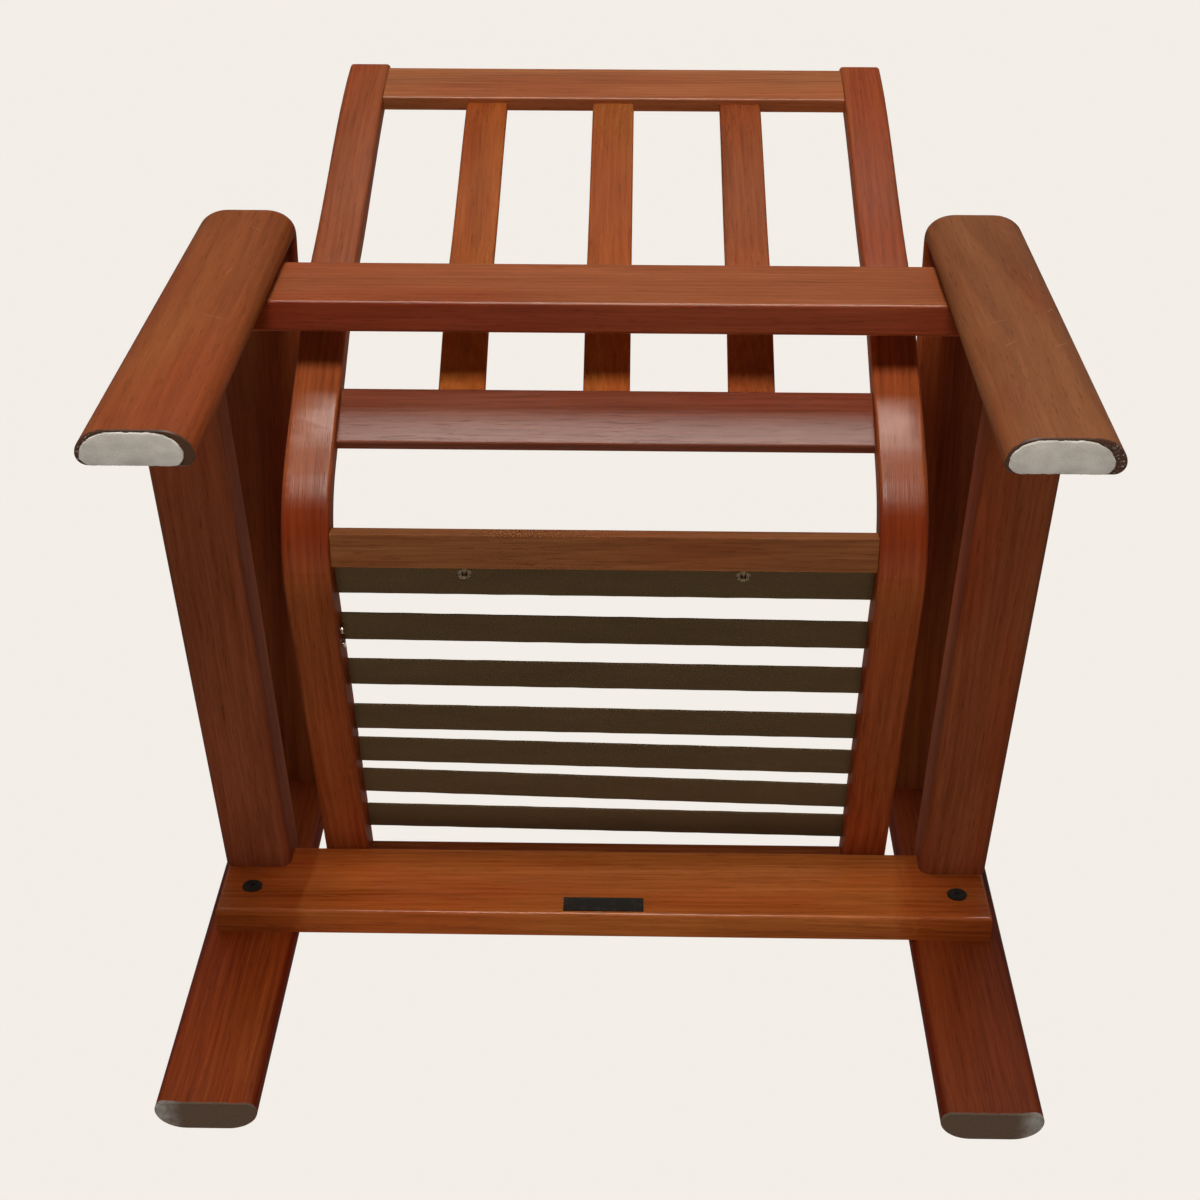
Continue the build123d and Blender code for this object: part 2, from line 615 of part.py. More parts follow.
# Press studs that stand out from the seat rear rail
with BuildPart() as press_studs:
    for x in (STUD_X, -STUD_X):
        base = Plane(origin=(x, SEAT_REAR_RAIL_Y[0], STUD_Z), x_dir=(1, 0, 0), z_dir=(0, -1, 0))
        with Locations(base.offset(-STUD_IN_RAIL)):
            Cylinder(STUD_SHANK_D / 2, STUD_IN_RAIL + STUD_SHANK_L, align=BASE)
        with Locations(base.offset(STUD_SHANK_L)):
            Cylinder(STUD_HEAD_D / 2, STUD_HEAD_H, align=BASE)
    fillet(press_studs.faces().group_by(Axis.Y)[0].edges(), STUD_HEAD_R)
save(press_studs.part, "press_studs")

# Seat rear rail with a well rounded lower rear edge
with BuildPart() as seat_rear_rail:
    with BuildSketch(Plane.YZ.offset(-MEMBER_INNER_X)):
        with BuildLine():
            Polyline(
                (SEAT_REAR_RAIL_Y[0], SEAT_REAR_RAIL_Z[0]),
                (SEAT_REAR_RAIL_Y[1], SEAT_REAR_RAIL_Z[0]),
                (SEAT_REAR_RAIL_Y[1], SEAT_REAR_RAIL_Z[1]),
                (SEAT_REAR_RAIL_Y[0], SEAT_REAR_RAIL_Z[1]),
                close=True,
            )
        outline = make_face()
        corners = outline.vertices().sort_by(Axis((0, 0, 0), (0, 1, -1)))
        fillet(corners[-1], SEAT_REAR_RAIL_R)
        fillet(corners[:-1], FRAME_RAIL_R)
    extrude(amount=rail_length)
    add(press_studs.part, mode=Mode.SUBTRACT)
    add(frame_dowels.part, mode=Mode.SUBTRACT)
save(seat_rear_rail.part, "seat_rear_rail")

# Small screws in the inner face of the left member
with BuildPart() as member_screws:
    for length in PIN_LENGTHS:
        point = edge_point(length, PIN_DEPTH)
        face = Plane(origin=(MEMBER_INNER_X, point.Y, point.Z), x_dir=(0, 1, 0), z_dir=(1, 0, 0))
        with Locations(face.offset(-PIN_HEAD_H)):
            Cylinder(PIN_HEAD_D / 2, PIN_HEAD_H, align=BASE)
        with Locations(face):
            Cylinder(PIN_D / 2, PIN_L, align=BASE)
    fillet(member_screws.faces().group_by(Axis.X)[0].edges(), PIN_HEAD_H / 2)
save(member_screws.part, "member_screws")

# Bent members: back stile, bend and seat side in one piece, smooth where the bend ends
bend_length = FRAME_LENGTH - (Vector(*SEAT_LINE_FRONT) - Vector(*BACK_LINE[-1])).length
inner_lengths = [bend_length * i / MEMBER_STATIONS for i in range(MEMBER_STATIONS + 1)]
inner_points = [edge_point(length, member_thickness(length)) for length in inner_lengths]
inner_front = edge_point(FRAME_LENGTH, member_thickness(FRAME_LENGTH))
with BuildPart() as member:
    with BuildSketch(Plane.YZ.offset(MEMBER_INNER_X)):
        with BuildLine():
            back_edge = Spline(*BACK_LINE, tangents=(BACK_TOP_TANGENT, (seat_rise.X, seat_rise.Y)))
            Line(BACK_LINE[-1], SEAT_LINE_FRONT)
            Line(SEAT_LINE_FRONT, (inner_front.Y, inner_front.Z))
            Line((inner_front.Y, inner_front.Z), (inner_points[-1].Y, inner_points[-1].Z))
            inner_edge = Spline(
                *[(point.Y, point.Z) for point in inner_points],
                tangents=(BACK_TOP_TANGENT, (seat_rise.X, seat_rise.Y)),
            )
            Line(inner_edge @ 0, back_edge @ 0)
        make_face()
    extrude(amount=MEMBER_W)
    fillet(member.edges().filter_by(Axis.X).sort_by(Axis.Z)[2:], MEMBER_TOP_R)
    fillet(member.faces().filter_by(Axis.X).edges(), MEMBER_R)
    add(frame_dowels.part, mode=Mode.SUBTRACT)
    add(frame_screws.part, mode=Mode.SUBTRACT)
with BuildPart() as strap_pockets:
    for plane in strap_planes:
        with Locations(plane):
            Box(2 * pocket_end_x, STRAP_W + 2 * STRAP_ROOM, CLIP_T + 2 * STRAP_ROOM)
with BuildPart() as right_member:
    mirror(member.part, about=Plane.YZ)
    add(strap_pockets.part, mode=Mode.SUBTRACT)
with BuildPart() as left_member:
    add(member.part)
    add(strap_pockets.part, mode=Mode.SUBTRACT)
    add(member_screws.part, mode=Mode.SUBTRACT)
save(left_member.part, "left_member")
save(right_member.part, "right_member")

# Webbing straps, each as a flat band between its two clips
strap_end_x = clip_end_x - CLIP_WALL - STRAP_ROOM
for number, plane in enumerate(strap_planes, start=1):
    with BuildPart() as strap:
        with Locations(plane):
            Box(2 * strap_end_x, STRAP_W, STRAP_T)
    save(strap.part, f"webbing_strap_{number}")

# Folded clips on the strap ends
with BuildPart() as webbing_clips:
    for plane in strap_planes:
        with Locations(plane):
            Box(2 * clip_end_x, STRAP_W, CLIP_T)
            Box(2 * (clip_end_x - CLIP_WALL), STRAP_W, STRAP_T + 2 * STRAP_ROOM, mode=Mode.SUBTRACT)
            Box(2 * (clip_end_x - CLIP_L), STRAP_W, CLIP_T, mode=Mode.SUBTRACT)
save(webbing_clips.part, "webbing_clips")
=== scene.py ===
"""Looks of a bare wooden easy chair frame: lacquered boards, bent members, webbing and felt.

Lengths are in metres and angles in degrees, in the CAD's frame.
"""

import logging
import math
from dataclasses import dataclass, field
from enum import Enum
from typing import Any

import bpy
import numpy as np
from mathutils import Matrix, Vector

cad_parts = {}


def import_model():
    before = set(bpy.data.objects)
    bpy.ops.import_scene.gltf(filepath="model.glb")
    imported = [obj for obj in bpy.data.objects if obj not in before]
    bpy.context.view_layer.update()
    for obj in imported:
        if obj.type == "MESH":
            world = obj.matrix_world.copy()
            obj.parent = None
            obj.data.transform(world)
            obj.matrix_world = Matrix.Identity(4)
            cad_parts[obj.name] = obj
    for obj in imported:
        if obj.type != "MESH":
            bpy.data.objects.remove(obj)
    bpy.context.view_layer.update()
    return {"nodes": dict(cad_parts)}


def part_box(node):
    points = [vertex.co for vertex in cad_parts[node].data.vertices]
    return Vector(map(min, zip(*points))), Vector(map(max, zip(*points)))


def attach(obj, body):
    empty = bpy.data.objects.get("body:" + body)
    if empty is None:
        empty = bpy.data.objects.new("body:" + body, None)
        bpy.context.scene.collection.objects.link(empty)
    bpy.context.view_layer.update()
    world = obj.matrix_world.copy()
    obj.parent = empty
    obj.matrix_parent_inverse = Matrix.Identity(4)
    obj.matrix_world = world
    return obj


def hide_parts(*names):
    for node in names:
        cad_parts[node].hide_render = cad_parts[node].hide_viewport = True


LOG = logging.getLogger("chair")
Colour = tuple[float, float, float]
Triple = tuple[float, float, float]
Pair = tuple[float, float]
Socket = bpy.types.NodeSocket
Material = bpy.types.Material
Piece = bpy.types.Object
Nodes = dict[str, Piece]
ROOT = "root"

# Rear and lower edge line of the bent members, in metres, from the top of the back to the bend's end
EDGE_LINE = (
    (0.3444, 0.8160),
    (0.3050, 0.6460),
    (0.2650, 0.5160),
    (0.2424, 0.4370),
    (0.1980, 0.3490),
    (0.1600, 0.2770),
    (0.1220, 0.2320),
    (0.0810, 0.2160),
    (0.0370, 0.2220),
)
EDGE_TOP_TANGENT = (-0.11, -1.0)
SEAT_FRONT = (-0.3430, 0.3545)
# Place of each strap along the edge line, in metres, and its turn in degrees
STRAPS = (
    (0.7195, 0.3),
    (0.7816, 0.7),
    (0.8422, 0.7),
    (0.9056, 0.9),
    (0.9557, 1.5),
    (1.0047, 2.1),
    (1.0554, 1.2),
)
# Values of a noise between which most of it lies
NOISE_LOW, NOISE_HIGH = 0.25, 0.75


class Grain(Enum):
    """Turn that lays a board's grain along the pattern's x axis, in degrees about X, Y and Z."""

    WIDTH = (0.0, 0.0, 0.0)
    HEIGHT = (0.0, 90.0, 0.0)
    DEPTH = (0.0, 0.0, -90.0)
    SIDE_SLOPE = (16.4, 0.0, -90.0)
    BACK_LEAN = (19.1, 90.0, 0.0)
    BENT = None


class PaintedShade(Enum):
    """Faces of a board that get painted shade, a darker colour that stands in for shade."""

    NONE = "none"
    UNDER = "faces that look down"
    SIDES = "faces that look sideways"
    BEND = "lower part of the bend"
    ENDS = "ends under the side rails"


class FootWear(Enum):
    """Height above the floor up to which the end of a leg has worn, in metres."""

    NONE = 0.0
    BARE = 0.0012
    PADDED = 0.0040


class Graph:
    """Adds and joins the nodes of one material or of the world."""

    def __init__(self, owner: bpy.types.ID) -> None:
        """Start an empty node tree.

        Args:
            owner: The material or world that has the tree.
        """
        owner.use_nodes = True
        self.tree = owner.node_tree
        self.tree.nodes.clear()

    def feed(self, socket: Socket, value: Any) -> None:
        """Link a socket into an input, or set the input's own value.

        Args:
            socket: The input.
            value: A socket, a number, a vector or a colour.
        """
        if isinstance(value, Socket):
            self.tree.links.new(value, socket)
        elif isinstance(value, tuple) and socket.type == "RGBA":
            socket.default_value = (*value[:3], 1.0)
        else:
            socket.default_value = value

    def node(self, kind: str, **settings: Any) -> bpy.types.Node:
        """Add a node and set its properties.

        Args:
            kind: Type of the node.
            settings: Properties by name.

        Returns:
            The new node.
        """
        made = self.tree.nodes.new(kind)
        for key, value in settings.items():
            setattr(made, key, value)
        return made

    def fill(self, node: bpy.types.Node, **values: Any) -> None:
        """Feed a node's inputs, with underscores for the spaces in their names."""
        for key, value in values.items():
            self.feed(node.inputs[key.replace("_", " ")], value)

    def operate(self, kind: str, operation: str, *operands: Any) -> Socket:
        """Add a node that works on operands.

        Args:
            kind: Type of the node.
            operation: Name of the operation.
            operands: Sockets or values, in order.

        Returns:
            The result.
        """
        made = self.node(kind, operation=operation)
        for socket, value in zip(made.inputs, operands):
            self.feed(socket, value)
        return made.outputs[0]

    def math(self, operation: str, *operands: Any) -> Socket:
        """Result of a new Math node."""
        return self.operate("ShaderNodeMath", operation, *operands)

    def times(self, first: Any, second: Any) -> Socket:
        """Product of two values."""
        return self.math("MULTIPLY", first, second)

    def plus(self, first: Any, second: Any) -> Socket:
        """Sum of two values."""
        return self.math("ADD", first, second)

    def vector(self, operation: str, *operands: Any) -> Socket:
        """Resulting vector of a new Vector Math node."""
        return self.operate("ShaderNodeVectorMath", operation, *operands)

    def noise(self, place: Socket, stretch: Triple, detail: float = 3.0, rough: float = 0.55) -> Socket:
        """Add a noise that is stretched along the axes.

        Args:
            place: Coordinates.
            stretch: Features per metre along x, y and z.
            detail: Octaves of the noise.
            rough: Weight of the finer octaves.

        Returns:
            The noise's value, about 0.5 on average.
        """
        made = self.node("ShaderNodeTexNoise")
        stretched = self.vector("MULTIPLY", place, stretch)
        self.fill(made, Vector=stretched, Scale=1.0, Detail=detail, Roughness=rough)
        return made.outputs["Fac"]

    def ranged(self, kind: str, value: Socket, *limits: float) -> Socket:
        """Map a value from one range to another.

        Args:
            kind: Interpolation of the map.
            value: The value.
            limits: Where the first range starts and ends, and where the second does.

        Returns:
            The mapped value.
        """
        made = self.node("ShaderNodeMapRange", interpolation_type=kind)
        names = ("From_Min", "From_Max", "To_Min", "To_Max")
        self.fill(made, Value=value, **dict(zip(names, limits)))
        return made.outputs["Result"]

    def step(self, value: Socket, low: float, high: float) -> Socket:
        """Smooth step of a value from 0 at low to 1 at high."""
        return self.ranged("SMOOTHSTEP", value, low, high, 0.0, 1.0)

    def spread(self, value: Socket, low: float, high: float) -> Socket:
        """Straight spread of a noise's value around 0.5 to a range."""
        return self.ranged("LINEAR", value, NOISE_LOW, NOISE_HIGH, low, high)

    def mix(self, share: Any, first: Any, second: Any, blend: str = "MIX") -> Socket:
        """Mix two colours.

        Args:
            share: Share of the second colour.
            first: First colour.
            second: Second colour.
            blend: Blend type.

        Returns:
            The mixed colour.
        """
        made = self.node("ShaderNodeMix", data_type="RGBA", blend_type=blend)
        self.feed(made.inputs["Factor"], share)
        colour_inputs = [s for s in made.inputs if s.type == "RGBA"]
        self.feed(colour_inputs[0], first)
        self.feed(colour_inputs[1], second)
        return next(s for s in made.outputs if s.type == "RGBA")

    def mix_shaders(self, share: Socket, first: bpy.types.Node, second: bpy.types.Node) -> Socket:
        """Mix two shaders.

        Args:
            share: Share of the second shader.
            first: Node of the first shader.
            second: Node of the second shader.

        Returns:
            The mixed shader.
        """
        made = self.node("ShaderNodeMixShader")
        for socket, value in zip(made.inputs, (share, first.outputs[0], second.outputs[0])):
            self.feed(socket, value)
        return made.outputs[0]

    def object_place(self) -> Socket:
        """Object coordinates, in the chair's frame."""
        return self.node("ShaderNodeTexCoord").outputs["Object"]

    def attribute(self, name: str) -> Socket:
        """A vector that is stored on the piece's own mesh."""
        return self.node("ShaderNodeAttribute", attribute_name=name).outputs["Vector"]

    def turned(self, place: Socket, turn: Triple, shift: Triple) -> Socket:
        """Turn and then shift coordinates.

        Args:
            place: Coordinates.
            turn: Turn about X, Y and Z.
            shift: Shift along X, Y and Z.

        Returns:
            The new coordinates.
        """
        made = self.node("ShaderNodeMapping")
        self.fill(made, Vector=place, Location=shift, Rotation=tuple(math.radians(a) for a in turn))
        return made.outputs["Vector"]

    def parts(self, place: Socket) -> tuple[Socket, Socket, Socket]:
        """Split coordinates.

        Args:
            place: Coordinates.

        Returns:
            Their x, y and z parts.
        """
        made = self.node("ShaderNodeSeparateXYZ")
        self.feed(made.inputs[0], place)
        return made.outputs[0], made.outputs[1], made.outputs[2]


class MaterialGraph(Graph):
    """Node tree of one material with a principled shader."""

    def __init__(self, name: str) -> None:
        """Start the material.

        Args:
            name: Name of the material.
        """
        self.material = bpy.data.materials.new(name)
        super().__init__(self.material)
        self.output = self.node("ShaderNodeOutputMaterial")
        self.shader = self.node("ShaderNodeBsdfPrincipled")
        self.feed(self.output.inputs["Surface"], self.shader.outputs["BSDF"])

    def bump(self, height: Socket, strength: float, distance: float, *targets: str) -> None:
        """Bump the shader's normal by a height.

        Args:
            height: The height, from 0 to 1.
            strength: Strength of the bump.
            distance: Depth of the bump.
            targets: Names of the shader's normal inputs, the base normal alone by default.
        """
        made = self.node("ShaderNodeBump")
        self.fill(made, Height=height, Strength=strength, Distance=distance)
        for target in targets or ("Normal",):
            self.feed(self.shader.inputs[target], made.outputs["Normal"])

    def set(self, **values: Any) -> None:
        """Set the shader's inputs, with underscores for the spaces in their names."""
        self.fill(self.shader, **values)


@dataclass(frozen=True)
class Board:
    """How one board was cut, how it has aged and where it gets painted shade.

    Attributes:
        grain: Direction of the grain.
        colour: Mean colour of the board under its lacquer.
        shift: Place of the board in the log, so that no two boards look alike.
        streaks: Strength of the broad streaks.
        lines: Strength of the fine dark lines.
        figure: Strength of the growth rings.
        rings: Growth rings per metre.
        heart: Distance from the heart of the log, across the board and through it.
        tilt: Slope of the grain through the board, which draws the rings out into arches.
        gloss: Roughness of the lacquer.
        coat: Weight of the lacquer's gloss.
        scratches: Strength of the scratches.
        painted_shade: Faces that are drawn darker as painted shade.
        wear: How the foot has worn.
    """

    grain: Grain
    colour: Colour
    shift: Triple
    streaks: float = 0.30
    lines: float = 0.30
    figure: float = 0.12
    rings: float = 150.0
    heart: Pair = (0.05, 0.11)
    tilt: float = 0.03
    gloss: float = 0.30
    coat: float = 0.07
    scratches: float = 0.0
    painted_shade: PaintedShade = PaintedShade.NONE
    wear: FootWear = FootWear.NONE


@dataclass(frozen=True)
class WoodFinish:
    """Worn satin lacquer over a stained hardwood with fine open pores.

    Attributes:
        deep: Share of a board's colour that is left in its darkest streaks.
        pale: Share of a board's colour in its palest streaks.
        red: Share of a board's colour where the stain is redder.
        pore: Share of the colour that is left in a pore.
        painted_shade_tint: Share of the colour that is left where painted shade darkens a board.
        worn: Colour of worn edges and scratches.
        end: Colour of a bare foot end.
        rim: Colour of a foot end around its pad.
        foot_scuff_and_glint: Colour of scuffs on a foot.
        streak_grid: Broad streaks per metre along, across and through a board.
        line_grid: Likewise for fine dark lines.
        fibre_grid: Likewise for fibres.
        pore_grid: Likewise for pores.
        cloud_grid: Likewise for soft patches.
        red_grid: Likewise for redder patches.
        painted_bend_shade: Lengths along the bend where its painted shade grows and where it fades.
        painted_end_shade: Distances from the middle over which painted shade darkens a rail's ends.
        wear_radius: Width of a worn edge.
        scratch_size: Half the length and half the width of a scratch.
        foot_side: Distances from the middle over which the scuffs on a foot grow.
    """

    deep: Colour = (0.62, 0.54, 0.50)
    pale: Colour = (1.34, 1.52, 1.70)
    red: Colour = (1.02, 0.80, 0.72)
    pore: Colour = (0.52, 0.42, 0.38)
    painted_shade_tint: Colour = (0.66, 0.42, 0.36)
    worn: Colour = (0.420, 0.230, 0.130)
    end: Colour = (0.150, 0.102, 0.074)
    rim: Colour = (0.075, 0.036, 0.022)
    # foot_scuff_and_glint: Colour of pale scuffs on a foot's outer edge, partly a painted highlight of its
    # shine.
    foot_scuff_and_glint: Colour = (0.440, 0.430, 0.410)
    streak_grid: Triple = (1.8, 42.0, 42.0)
    line_grid: Triple = (10.0, 400.0, 400.0)
    fibre_grid: Triple = (28.0, 1500.0, 1500.0)
    pore_grid: Triple = (48.0, 850.0, 850.0)
    cloud_grid: Triple = (4.0, 15.0, 15.0)
    red_grid: Triple = (2.5, 11.0, 11.0)
    painted_bend_shade: tuple[float, float, float, float] = (0.590, 0.642, 0.655, 0.712)
    painted_end_shade: Pair = (0.270, 0.288)
    wear_radius: float = 0.003
    scratch_size: Pair = (0.010, 0.0006)
    # foot_side: Distances from the middle over which the scuffs and painted highlight on a foot grow.
    foot_side: Pair = (0.345, 0.366)

    def material(self, name: str, board: Board) -> Material:
        """Make the wood of one board.

        Args:
            name: Name of the material.
            board: How the board was cut and has aged.

        Returns:
            The material.
        """
        g = MaterialGraph(name)
        place = g.object_place()
        if board.grain is Grain.BENT:
            along = g.vector("ADD", g.attribute("board"), board.shift)
        else:
            along = g.turned(place, board.grain.value, board.shift)
        swayed = g.vector("ADD", along, self.sway(g, along))
        broad = g.noise(swayed, self.streak_grid, 3.0)
        lines = g.noise(swayed, self.line_grid, 2.0, 0.6)
        fibre = g.noise(swayed, self.fibre_grid, 2.0, 0.6)
        pores = g.step(g.noise(swayed, self.pore_grid, 2.0), 0.58, 0.72)
        cloud = g.noise(along, self.cloud_grid, 3.0)
        share = g.spread(broad, 0.5 - board.streaks, 0.5 + board.streaks)
        share = g.plus(share, g.spread(lines, -board.lines, board.lines))
        share = g.plus(share, g.spread(fibre, -0.10, 0.10))
        share = g.plus(share, g.spread(cloud, -0.14, 0.14))
        rings = g.math("SUBTRACT", self.rings(g, swayed, board), 0.5)
        share = g.math("MULTIPLY_ADD", rings, board.figure, share)
        colour = self.stain(g, share, board.colour)
        redder = g.step(g.noise(along, self.red_grid, 2.0), 0.42, 0.66)
        colour = g.mix(redder, colour, self.red, "MULTIPLY")
        colour = g.mix(g.times(pores, 0.6), colour, self.pore, "MULTIPLY")
        colour = g.mix(self.edge_wear(g, along), colour, self.worn)
        # Painted shade: chosen faces are drawn darker to stand in for shade
        if board.painted_shade is not PaintedShade.NONE:
            colour = g.mix(self.painted_shade_share(g, board), colour, self.painted_shade_tint, "MULTIPLY")
        if board.scratches > 0.0:
            marks = g.times(self.scratches(g, along), board.scratches)
            colour = g.mix(marks, colour, self.worn)
        rough = g.spread(lines, 0.42, 0.56)
        if board.wear is not FootWear.NONE:
            colour, rough = self.foot(g, place, colour, rough, board.wear)
        g.set(Base_Color=colour, Roughness=rough, Specular_IOR_Level=0.0)
        g.set(Coat_Weight=board.coat, Coat_Roughness=board.gloss)
        relief = g.math("MULTIPLY_ADD", lines, 0.6, g.times(fibre, 0.25))
        relief = g.math("SUBTRACT", relief, g.times(pores, 0.35))
        g.bump(relief, 0.45, 0.0004, "Normal", "Coat Normal")
        return g.material

    def painted_shade_share(self, g: Graph, board: Board) -> Socket:
        """Painted shade: faces of a board that are drawn darker to stand in for shade.

        Args:
            g: The material's graph.
            board: How the board has aged.

        Returns:
            Share of painted shade.
        """
        # Painted shade over the lower part of the bend, standing in for the shadow there
        if board.painted_shade is PaintedShade.BEND:
            length = g.parts(g.attribute("board"))[0]
            start, full, ease, end = self.painted_bend_shade
            return g.times(g.step(length, start, full), g.step(length, end, ease))
        # Painted shade at the rail's ends, next to and under the side rails
        if board.painted_shade is PaintedShade.ENDS:
            place = g.object_place()
            ragged = g.spread(g.noise(place, (60.0, 60.0, 12.0), 3.0), -0.012, 0.012)
            across = g.plus(g.math("ABSOLUTE", g.parts(place)[0]), ragged)
            return g.times(g.step(across, *self.painted_end_shade), 0.6)
        # Painted shade on faces that look down for UNDER and on faces that look sideways for SIDES
        side, _, up = g.parts(g.node("ShaderNodeTexCoord").outputs["Normal"])
        if board.painted_shade is PaintedShade.UNDER:
            return g.step(up, -0.4, -0.9)
        return g.step(g.math("ABSOLUTE", side), 0.15, 0.75)

    def stain(self, g: Graph, share: Socket, colour: Colour) -> Socket:
        """Ramp from a board's darkest to its palest colour.

        Args:
            g: The material's graph.
            share: Place on the ramp, about 0.5 on average.
            colour: Mean colour of the board.

        Returns:
            The stained colour.
        """
        ramp = g.node("ShaderNodeValToRGB")
        stops = ramp.color_ramp.elements
        stops[0].position, stops[1].position = 0.08, 0.92
        stops[0].color = (*(c * d for c, d in zip(colour, self.deep)), 1.0)
        stops[1].color = (*(min(1.0, c * p) for c, p in zip(colour, self.pale)), 1.0)
        middle = stops.new(0.5)
        middle.color = (*colour, 1.0)
        g.feed(ramp.inputs["Fac"], share)
        return ramp.outputs["Color"]

    def sway(self, g: Graph, along: Socket) -> Socket:
        """Slow wander of the grain across the board.

        Args:
            g: The material's graph.
            along: Board coordinates.

        Returns:
            The shift across the grain.
        """
        wander = g.math("SUBTRACT", g.noise(along, (1.7, 8.0, 8.0), 2.0), 0.5)
        made = g.node("ShaderNodeCombineXYZ")
        g.fill(made, Y=g.times(wander, 0.020), Z=g.times(wander, 0.016))
        return made.outputs[0]

    def rings(self, g: Graph, along: Socket, board: Board) -> Socket:
        """Growth rings around the heart of the log.

        Args:
            g: The material's graph.
            along: Board coordinates.
            board: How the board was cut.

        Returns:
            The rings' value, from 0 in early wood to 1 in late wood.
        """
        length, across, through = g.parts(along)
        across = g.plus(across, board.heart[0] - board.shift[1])
        through = g.plus(through, board.heart[1] - board.shift[2])
        through = g.math("MULTIPLY_ADD", length, board.tilt, through)
        squares = g.plus(g.times(across, across), g.times(through, through))
        saw = g.math("FRACT", g.times(g.math("SQRT", squares), board.rings))
        return g.math("SUBTRACT", g.step(saw, 0.10, 0.88), g.step(saw, 0.90, 1.0))

    def edge_wear(self, g: Graph, along: Socket) -> Socket:
        """Worn lacquer on the boards' edges.

        Args:
            g: The material's graph.
            along: Board coordinates.

        Returns:
            Share of worn lacquer.
        """
        soft = g.node("ShaderNodeBevel", samples=4)
        g.feed(soft.inputs["Radius"], self.wear_radius)
        sharp = g.node("ShaderNodeNewGeometry").outputs["Normal"]
        dot = g.node("ShaderNodeVectorMath", operation="DOT_PRODUCT")
        g.feed(dot.inputs[0], soft.outputs["Normal"])
        g.feed(dot.inputs[1], sharp)
        edge = g.step(dot.outputs["Value"], 0.985, 0.86)
        patches = g.step(g.noise(along, (26.0, 70.0, 70.0), 4.0), 0.52, 0.70)
        return g.times(g.times(edge, patches), 0.30)

    def scratches(self, g: Graph, along: Socket) -> Socket:
        """Sparse short straight scratches on the broad faces.

        Args:
            g: The material's graph.
            along: Board coordinates.

        Returns:
            Share of scratch.
        """
        length, _, across = g.parts(along)
        flat = g.node("ShaderNodeCombineXYZ")
        g.fill(flat, X=length, Y=across)
        cells = g.node("ShaderNodeTexVoronoi", voronoi_dimensions="2D")
        g.fill(cells, Vector=flat.outputs[0], Scale=24.0)
        off_x, off_y, _ = g.parts(g.vector("SUBTRACT", flat.outputs[0], cells.outputs["Position"]))
        chance, pick, _ = g.parts(cells.outputs["Color"])
        angle = g.math("MULTIPLY_ADD", chance, 2.6, -1.3)
        cos, sin = g.math("COSINE", angle), g.math("SINE", angle)
        run = g.plus(g.times(off_x, cos), g.times(off_y, sin))
        side = g.math("SUBTRACT", g.times(off_y, cos), g.times(off_x, sin))
        half_length, half_width = self.scratch_size
        line = g.step(g.math("ABSOLUTE", side), half_width, half_width / 3)
        ends = g.step(g.math("ABSOLUTE", run), half_length, half_length / 2)
        return g.times(g.times(line, ends), g.step(pick, 0.76, 0.80))

    def foot(
        self, g: Graph, place: Socket, colour: Socket, rough: Socket, wear: FootWear
    ) -> tuple[Socket, Socket]:
        """Worn end of a leg, with pale scuffs that are partly a painted highlight.

        Args:
            g: The material's graph.
            place: Coordinates in the chair's frame.
            colour: Colour of the wood.
            rough: Roughness of the wood.
            wear: How the foot has worn.

        Returns:
            New colour and roughness.
        """
        side, _, height = g.parts(place)
        outer = g.step(g.math("ABSOLUTE", side), *self.foot_side)
        ragged = g.math("SUBTRACT", g.noise(place, (170.0, 170.0, 170.0), 3.0), 0.5)
        height = g.math("MULTIPLY_ADD", ragged, 0.003, height)
        reach = g.math("MULTIPLY_ADD", outer, 0.0022, wear.value)
        low = g.step(g.math("SUBTRACT", height, reach), 0.0005, -0.0005)
        grit = g.noise(place, (520.0, 520.0, 300.0), 4.0, 0.7)
        if wear is FootWear.PADDED:
            scuff_and_glint = g.times(outer, g.step(grit, 0.56, 0.66))
            end = g.mix(scuff_and_glint, self.rim, self.foot_scuff_and_glint)
        else:
            # Bare foot: pale patches on the outer edge, partly scuffs and partly a painted highlight of the
            # foot's shine
            patches = g.noise(place, (110.0, 110.0, 110.0), 3.0)
            scuff_and_glint = g.times(outer, g.spread(patches, 0.10, 0.85))
            end = g.mix(scuff_and_glint, g.mix(grit, self.end, (0.5, 0.45, 0.42), "MULTIPLY"), self.foot_scuff_and_glint)
        return g.mix(low, colour, end), g.math("MAXIMUM", rough, g.times(low, 0.75))


@dataclass(frozen=True)
class WebbingFinish:
    """Dark olive webbing with a close weave.

    Attributes:
        warp: Colour of the raised threads.
        weft: Colour between them.
        threads: Threads per metre.
    """

    warp: Colour = (0.150, 0.096, 0.046)
    weft: Colour = (0.085, 0.052, 0.024)
    threads: float = 640.0

    def material(self, name: str, tilt: float) -> Material:
        """Make the webbing of one strap.

        Args:
            name: Name of the material.
            tilt: Slope of the strap about X.

        Returns:
            The material.
        """
        g = MaterialGraph(name)
        place = g.turned(g.object_place(), (tilt, 0.0, 0.0), (0.0, 0.0, 0.0))
        x, y, _ = g.parts(place)
        over = g.math("SINE", g.times(x, self.threads * math.pi))
        under = g.math("SINE", g.times(y, self.threads * math.pi))
        weave = g.math("MULTIPLY_ADD", g.times(over, under), 0.5, 0.5)
        fuzz = g.noise(place, (900.0, 900.0, 900.0), 3.0)
        cloud = g.noise(place, (9.0, 40.0, 40.0), 3.0)
        share = g.plus(g.times(weave, 0.55), g.spread(fuzz, 0.0, 0.35))
        share = g.plus(share, g.spread(cloud, -0.18, 0.25))
        g.set(Base_Color=g.mix(share, self.weft, self.warp), Roughness=0.90, Specular_IOR_Level=0.05)
        g.set(Sheen_Weight=0.04, Sheen_Roughness=0.5, Sheen_Tint=(0.6, 0.5, 0.38, 1.0))
        g.bump(g.plus(weave, g.times(fuzz, 0.6)), 0.6, 0.0004)
        return g.material


